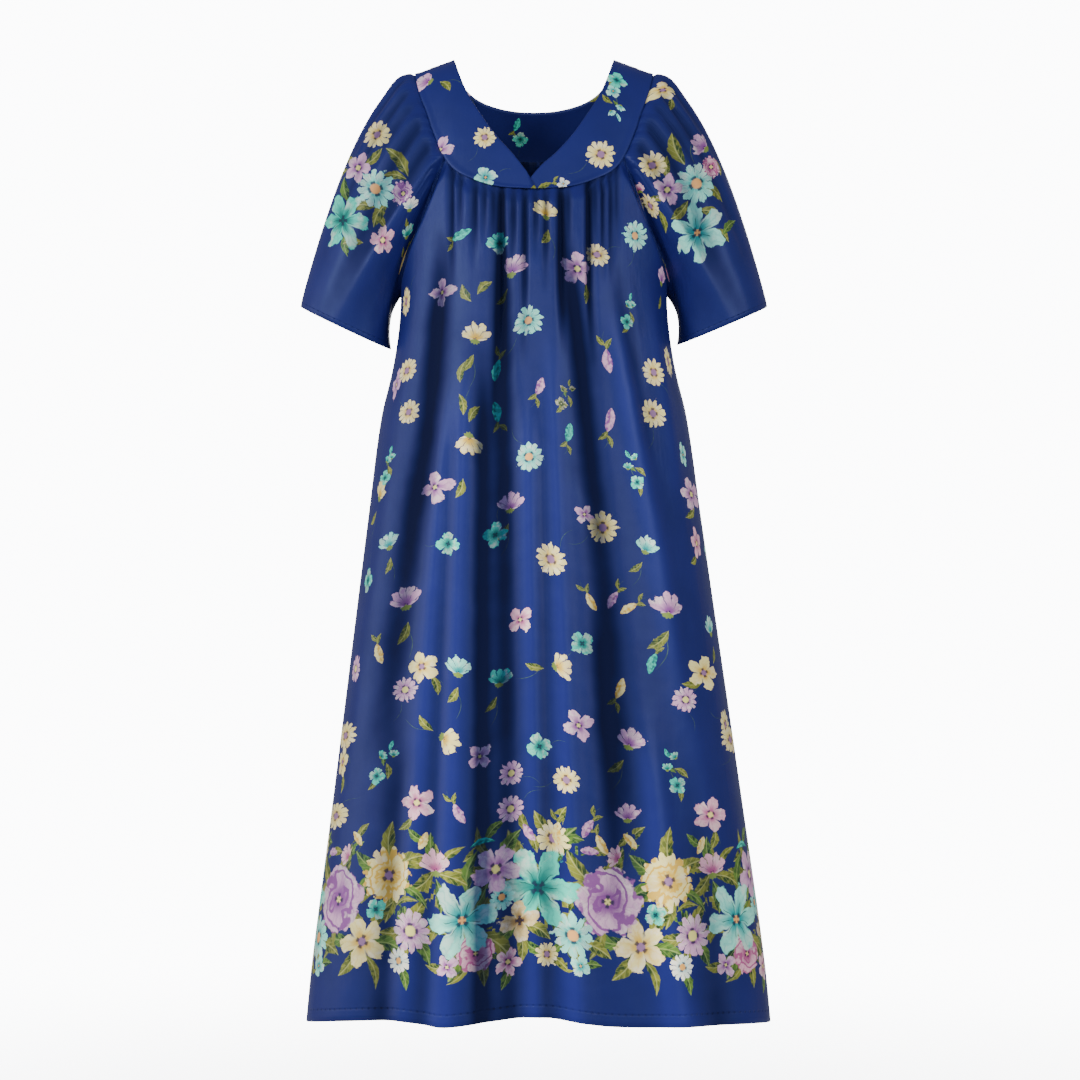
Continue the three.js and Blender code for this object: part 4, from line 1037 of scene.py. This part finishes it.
def run_of(grid):
    """Length along each row from its first column."""
    steps = np.linalg.norm(np.diff(grid, axis=1), axis=2)
    return np.concatenate([np.zeros((len(grid), 1)), np.cumsum(steps, axis=1)], axis=1)


# %% [markdown]
# The two body panels. Their columns stand close together where the gathers are. The cloth's coordinates are
# the length along each row from the middle, and the height above the hem, so that the garland follows the
# hem and the gathers take the print in with them.

# %% Front and back panels
HEM_TURN = ((0.6, 0.5), (-0.3, 1.1), (-5, 1.25), (-10, 1.25), (-15, 1.2), (-16, 0.9))
# rows stand closer down to FINE_TO, and columns towards the middle, where the gathers are
FINE_TO, COLUMNS_CLOSER, GATHERED_SHARE = 150, 0.1, (0.5, 0.64)
# trough depths in millimetres at which the painted shade is full, on the body and on the sleeves
FULL_SHADE_DEPTH_BODY, FULL_SHADE_DEPTH_SLEEVE, GARLAND_REACH, BACK_GARLAND_START = 8, 10, 520, 150


def body_panel(name, face, motifs_of, columns=200, near=46, far=142):
    u = np.linspace(-1, 1, columns + 1)
    u = u * (1 - COLUMNS_CLOSER + COLUMNS_CLOSER * u ** 2)
    length = panel_length(face, u)
    near_rows = np.linspace(0, FINE_TO, near)[:, None] + 0 * u
    far_rows = FINE_TO + np.linspace(0, 1, far + 1)[1:, None] * (length - FINE_TO)
    distance = np.concatenate([near_rows, far_rows])
    lift = np.zeros(len(distance))
    turned = np.array(HEM_TURN)
    distance = np.concatenate([distance, length + turned[:, :1]])
    lift = np.concatenate([lift, -turned[:, 1]])
    across = np.broadcast_to(u, distance.shape)
    surface = lambda a, d: panel_point(face, np.clip(a, -1, 1), d)
    grid = surface(across, distance)
    inside = points(0, 0, grid[..., 2])
    normals = outward(grid_normals(surface, across, distance), grid, inside)
    grid = grid + normals * lift[:, None, None]
    run = run_of(grid)
    middle = columns // 2
    cloth = np.stack([run - run[:, middle:middle + 1], length - distance], axis=-1)
    # depth of gathers and folds, for painted shade in troughs and a painted highlight on ridges
    depth = gather_depth(face, across, distance) + fold_depth(face, grid[..., 0], grid[..., 2])
    from_yoke = distance + FINE_TO * smoothstep(np.abs(across), *GATHERED_SHARE)
    edges = points(length - distance, from_yoke, painted_shade_of(depth, FULL_SHADE_DEPTH_BODY))
    return make_sheet(name, grid, cloth, edges, inside, motifs_of(grid, cloth))


def front_motifs(grid, cloth):
    return placed(SCATTERED, grid, cloth) + beside_seam(cloth) + garland_motifs(GARLAND_REACH)


def back_motifs(grid, cloth):
    """The same cloth on the back: it is seen from behind, so its flowers are placed as if mirrored."""
    mirrored = grid * np.array([-1, -1, 1])
    garland_here = garland_motifs(GARLAND_REACH, start=BACK_GARLAND_START)
    return placed(SCATTERED, mirrored, cloth) + beside_seam(cloth) + garland_here


front_panel = body_panel("cloth_front", FRONT, front_motifs)
back_panel = body_panel("cloth_back", BACK, back_motifs)

# %% [markdown]
# The yoke is two layers of cloth round the shoulders. Each piece lies between the neckline and the outer
# edge, both read from their tables, and both edges are turned under. The right half laps over the left one.

# %% Yoke pieces and the facing inside the back
YOKE_SPRAYS = sprays("""
    carnation lilac 429 82 13 335, four_petal lilac 441 150 12 250, daisy cream 485 138 10 240,
    clover aqua 485 177 10 20, clover teal 616 80 9 80, sprig aqua 614 100 12 280,
    daisy cream 601 155 13 215, bud olive 545 185 6 20, four_petal white 563 185 6 20""")
FACING_SPRAYS = sprays("""
    bud teal 517 124 6 250, clover teal 519 140 7 260, blossom lilac 468 84 11 300,
    carnation aqua 602 84 11 240""")
BACK_YOKE_SPRAYS = sprays("""
    blossom lilac 470 108 13 300, carnation cream 560 130 14 220, daisy aqua 510 128 12 250,
    sprig teal 622 96 14 250, daisy cream 436 86 11 320, bud lilac 596 120 9 200""")
EDGE_TURN = ((0.12, 1.3), (0.04, 1.3), (-0.004, 1.1), (-0.008, 0.5))
YOKE_ROWS, CLOSER_AT_SHOULDER, LIP_HEIGHT, LIP_AT, SLOPE_ROUNDING = 34, 1.6, 0.7, (0.86, 0.97), 1.33
NO_STITCHES, NO_CRINKLES, YOKE_INSIDE, FACING_INSIDE = 40, 600, -150, 900


def yoke_sheet(name, face, neck, edge, side, lift_of, sprays_here, span=(0, 1), columns=84, flip=False,
               ends=(1, 1)):
    f = np.linspace(*span, columns + 1)
    turned = np.array(EDGE_TURN)
    v = np.concatenate([turned[:, 0] * ends[0], np.linspace(0, 1, YOKE_ROWS), 1 - turned[::-1, 0] * ends[1]])
    lift = np.concatenate([-turned[:, 1] * ends[0], np.zeros(YOKE_ROWS), -turned[::-1, 1] * ends[1]])
    if not ends[1]:
        v, lift = v[:-len(turned)], lift[:-len(turned)]
    t = np.clip(1 - np.abs(f) if span[0] < 0 else f, 0, 1) ** CLOSER_AT_SHOULDER
    mirror = np.where(f < 0, -1, 1) if span[0] < 0 else side
    x = lerp(read(neck, "t", "x", t), read(edge, "t", "x", t), v[:, None])
    z = lerp(read(neck, "t", "z", t), read(edge, "t", "z", t), v[:, None])
    lip = LIP_HEIGHT * smoothstep(v, *LIP_AT)[:, None]
    sign = -1 if flip else 1
    grid = on_form(x, z, face, lift_of(x) + sign * (lift[:, None] + lip)) * points(mirror, 1, 1)
    below = np.maximum(-SHOULDER_SLOPE * np.maximum(x - NECK_HALF, 0) - z, 0)
    slope_run = np.sqrt(below ** 2 + SLOPE_ROUNDING * form_depth(x, z, face) ** 2)
    cloth = np.stack([x * mirror, -slope_run], axis=-1)
    width = np.linalg.norm(grid[-1] - grid[0], axis=-1)
    edges = points((1 - v[:, None]) * width + NO_STITCHES, v[:, None] * width + NO_CRINKLES, 0)
    inside = points(0, FACING_INSIDE * face, 0) if flip else points(0, 0, YOKE_INSIDE)
    seen = grid if face == FRONT or flip else grid * np.array([-1, -1, 1])
    motifs = placed(sprays_here, seen, cloth)
    return make_sheet(name, grid, cloth, edges, inside, motifs, wall=YOKE_CLOTH)


def front_yoke(name, side, end, sprays_here):
    neck_end, edge_end = FRONT_END[end]
    neck, edge = joined(NECK_EDGE[FRONT], neck_end), joined(YOKE_EDGE[FRONT], edge_end, True)
    under = CROSSING_DEPTH if end == "under" else 0
    return yoke_sheet(name, FRONT, neck, edge, side, lambda x: -under * crossing(x), sprays_here)


def back_yoke(name, lift, sprays_here, flip=False, ends=(1, 1)):
    return yoke_sheet(name, BACK, NECK_EDGE[BACK], YOKE_EDGE[BACK], 1, lambda x: lift + 0 * x, sprays_here,
                      span=(-1, 1), columns=168, flip=flip, ends=ends)


right_yoke = front_yoke("cloth_yoke_right", -1, "over", YOKE_SPRAYS)
left_yoke = front_yoke("cloth_yoke_left", 1, "under", YOKE_SPRAYS)
back_yoke_piece = back_yoke("cloth_yoke_back", 0, BACK_YOKE_SPRAYS)
facing = back_yoke("cloth_yoke_facing", -2.6, FACING_SPRAYS, flip=True, ends=(0, 0))

# %% [markdown]
# The sleeves. Round the ring, the columns stand closest at the yoke, where the gathers are. The sleeve's
# own bouquet covers its upper part, and plain blue is left towards the hem, as on the real dress.

# %% Sleeves
SLEEVE_SPRAYS = {
    "right": sprays("""
        daisy cream 378 135 13 250, blossom lilac 357 168 14 20, daisy aqua 377 188 17 30,
        dahlia lilac 402 194 11 250, lily teal 343 221 25 100, blossom pink 384 240 14 60,
        leaf olive 398 162 15 25, leaf olive 374 158 11 110, leaf green 346 190 12 230,
        leaf olive 380 213 12 280, leaf olive 362 206 12 330, leaf olive 352 243 9 330,
        leaf green 346 246 9 250, leaf olive 394 176 10 340, leaf olive 340 172 10 160,
        carnation teal 406 236 12 250, bud cream 402 262 11 80, carnation white 411 208 11 250"""),
    "left": sprays("""
        blossom cream 663 90 10 260, carnation lilac 706 148 14 300, dahlia pink 712 168 10 0,
        leaf olive 678 150 15 80, daisy cream 653 165 12 240, blossom lilac 669 190 14 200,
        daisy aqua 696 182 18 60, daisy cream 650 205 12 300, leaf olive 668 166 10 60,
        leaf olive 714 192 12 300, leaf olive 680 212 12 200, lily aqua 695 232 26 80,
        leaf green 728 226 10 20, leaf olive 722 234 9 300, leaf olive 664 222 11 260,
        leaf olive 712 212 11 320, bud pink 668 275 7 60, carnation pink 640 190 9 250"""),
}
# the sleeve's stitches lie this many times closer to its edge than those of the dress's hem
SLEEVE_HEM_SHARE = 2.5
SLEEVE_TURN = ((0.5, 0.5), (-0.3, 1.1), (-5, 1.25), (-9, 1.25), (-13, 1.2), (-14, 0.9))
# places round the ring, rows down the sleeve, and how much closer they stand at the gathers
RING_PLACES, SLEEVE_ROWS, RING_CLOSER, ROWS_CLOSER, LAST_MEASURED = 192, 70, 0.05, 1.25, 0.985


def sleeve(name, word):
    opening = SLEEVE_HEM[word]
    ring = np.linspace(0, 1, RING_PLACES + 1)
    ring = ring - RING_CLOSER * np.sin(4 * np.pi * ring) / np.pi
    hem = sleeve_hem(opening, ring)[0] * points(opening["side"], 1, 1)
    start = sleeve_point(opening, ring, np.zeros_like(ring))
    length = np.linalg.norm(hem - start, axis=-1)
    down = np.linspace(0, 1, SLEEVE_ROWS) ** ROWS_CLOSER
    along = np.concatenate([[-1, -0.66, -0.33], down])[:, None] + 0 * ring
    turned = np.array(SLEEVE_TURN)
    lift = np.concatenate([np.zeros(len(along)), -turned[:, 1]])
    along = np.concatenate([along, 1 + turned[:, :1] / length])
    across = np.broadcast_to(ring, along.shape)

    def surface(place, down):
        past = np.maximum(down - 1, 0)[..., None]
        within = sleeve_point(opening, place, np.minimum(down, 1))
        before = sleeve_point(opening, place, np.minimum(down, 1) - 0.01)
        return within + (within - before) * past * 100

    grid = surface(across, along)
    inside = grid.mean(axis=1, keepdims=True)
    normals = outward(grid_normals(surface, across, np.minimum(along, LAST_MEASURED)), grid, inside)
    grid = grid + normals * lift[:, None, None]
    grid[:, -1] = grid[:, 0]
    run = run_of(grid)
    crest = RING_PLACES // 2
    cloth = np.stack([run - run[:, crest:crest + 1], (1 - along) * length], axis=-1)
    # depth of the sleeve's gathers, for painted shade in their troughs and a painted highlight on ridges
    depth = sleeve_gather(across, np.clip(along, 0, 1))
    edges = points((1 - along) * length * SLEEVE_HEM_SHARE, np.maximum(along, 0) * length,
                   painted_shade_of(depth, FULL_SHADE_DEPTH_SLEEVE))
    flowers = placed(SLEEVE_SPRAYS[word], grid, cloth, tube=True)
    behind = placed(SLEEVE_SPRAYS[word], grid * np.array([1, -1, 1]), cloth, tube=True)
    return make_sheet(name, grid, cloth, edges, inside, flowers + behind, closed=True)


right_sleeve, left_sleeve = sleeve("cloth_sleeve_right", "right"), sleeve("cloth_sleeve_left", "left")

# %% [markdown]
# Each sheet now stands for its solid, whose own mesh is hidden, and rides on the dress's one body. The table
# also lists what each was cut to before it was gathered and hung, and its area, which this script does not
# use.

SHEETS = (
    (front_panel, "front_panel", (0.87, 1.15), "gathered", 0.83),
    (back_panel, "back_panel", (0.87, 1.19), "gathered", 0.85),
    (right_yoke, "yoke_front_right", (0.20, 0.21), "hung", 0.021),
    (left_yoke, "yoke_front_left", (0.20, 0.21), "hung", 0.021),
    (back_yoke_piece, "yoke_back", (0.34, 0.16), "hung", 0.034),
    (facing, "yoke_back_facing", (0.33, 0.15), "hung", 0.027),
    (right_sleeve, "sleeve_right", (0.46, 0.36), "gathered", 0.12),
    (left_sleeve, "sleeve_left", (0.46, 0.36), "gathered", 0.12),
)
for piece, node, flat, held, area in SHEETS:
    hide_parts(node)
    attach(piece, "root")
print("sheets declared:", len(SHEETS))

# %% [markdown]
# The studio: a pale floor that fades out into a pale surround, so that no edge shows behind the dress from
# any side, a broad soft light from the front left, weaker ones from the right, the front and the left side,
# and one from behind for whoever walks round it. What the camera sees of the surround is brighter than the
# light it gives, as with a lit paper behind a subject, which keeps the shadows in the folds deep.

# %% Floor, lights and camera
FRAME_WIDTH, SENSOR, FLOOR_CORNERS = 1.456, 36, 96
DRESS_MIDDLE, SEEN_LIGHT, GIVEN_LIGHT = (0, 0, -0.65), 12, 0.34
FLOOR_HEIGHT, FLOOR_RADIUS, FLOOR_FADES_FROM, FLOOR_STRENGTH = -1.47, 4.0, 0.2, 0.45


def studio_floor():
    clear_selection()
    bpy.ops.mesh.primitive_circle_add(vertices=FLOOR_CORNERS, radius=FLOOR_RADIUS, fill_type="TRIFAN",
                                      location=(0, 0, FLOOR_HEIGHT))
    floor = bpy.context.object
    floor.name = "studio_floor"
    paper = bpy.data.materials.new("floor paper")
    paper.use_nodes = True
    n = Nodes(paper.node_tree)
    place = n.add("ShaderNodeTexCoord").outputs["Object"]
    x, y, _ = n.parts(place)
    grain, _ = n.noise(place, 3)
    paper_colour = n.mix(grain, (0.9, 0.9, 0.9, 1), (0.94, 0.94, 0.94, 1))
    there = 1 - n.ease(n.distance(x, y), FLOOR_FADES_FROM, FLOOR_RADIUS * 0.6)
    shader = paper.node_tree.nodes["Principled BSDF"]
    n.fed(shader, {"Base Color": paper_colour, "Alpha": there * FLOOR_STRENGTH, "Roughness": 0.9})
    floor.data.materials.append(paper)
    clear_selection()
    return floor


def soft_light(name, place, size, power, aim=DRESS_MIDDLE):
    light = bpy.data.lights.new(name, "AREA")
    light.shape, light.size, light.energy = "DISK", size, power
    lamp = bpy.data.objects.new(name, light)
    lamp.location = place
    lamp.rotation_euler = (Vector(aim) - Vector(place)).to_track_quat("-Z", "Y").to_euler()
    bpy.context.scene.collection.objects.link(lamp)


studio_floor()
soft_light("key", (-3.0, -2.6, 0.9), 1.4, 90)
soft_light("fill", (3.0, -3.2, 0.4), 1.8, 76)
soft_light("front", (-0.3, -4.6, 0.8), 1.4, 62, aim=(0, 0, -0.7))
soft_light("left side", (-3.8, -0.3, -0.3), 2.0, 36)
soft_light("behind", (0.5, 4.3, 0.9), 2.4, 95, aim=(0, 0, -0.6))
world = bpy.data.worlds.new("studio")
world.use_nodes = True
n = Nodes(world.node_tree)
seen = n.add("ShaderNodeLightPath").outputs["Is Camera Ray"]
n.fed(world.node_tree.nodes["Background"],
      {"Color": (0.97, 0.98, 1, 1), "Strength": n.choose(seen, GIVEN_LIGHT, SEEN_LIGHT)})
bpy.context.scene.world = world

camera_data = bpy.data.cameras.new("camera")
camera_data.sensor_width = SENSOR
camera_data.lens = SENSOR * CAMERA_AWAY * MM / FRAME_WIDTH
camera = bpy.data.objects.new("camera", camera_data)
camera.location = (CAMERA_X * MM, -CAMERA_AWAY * MM, CAMERA_Z * MM)
camera.rotation_euler = (math.pi / 2, 0, 0)
bpy.context.scene.collection.objects.link(camera)
bpy.context.scene.camera = camera
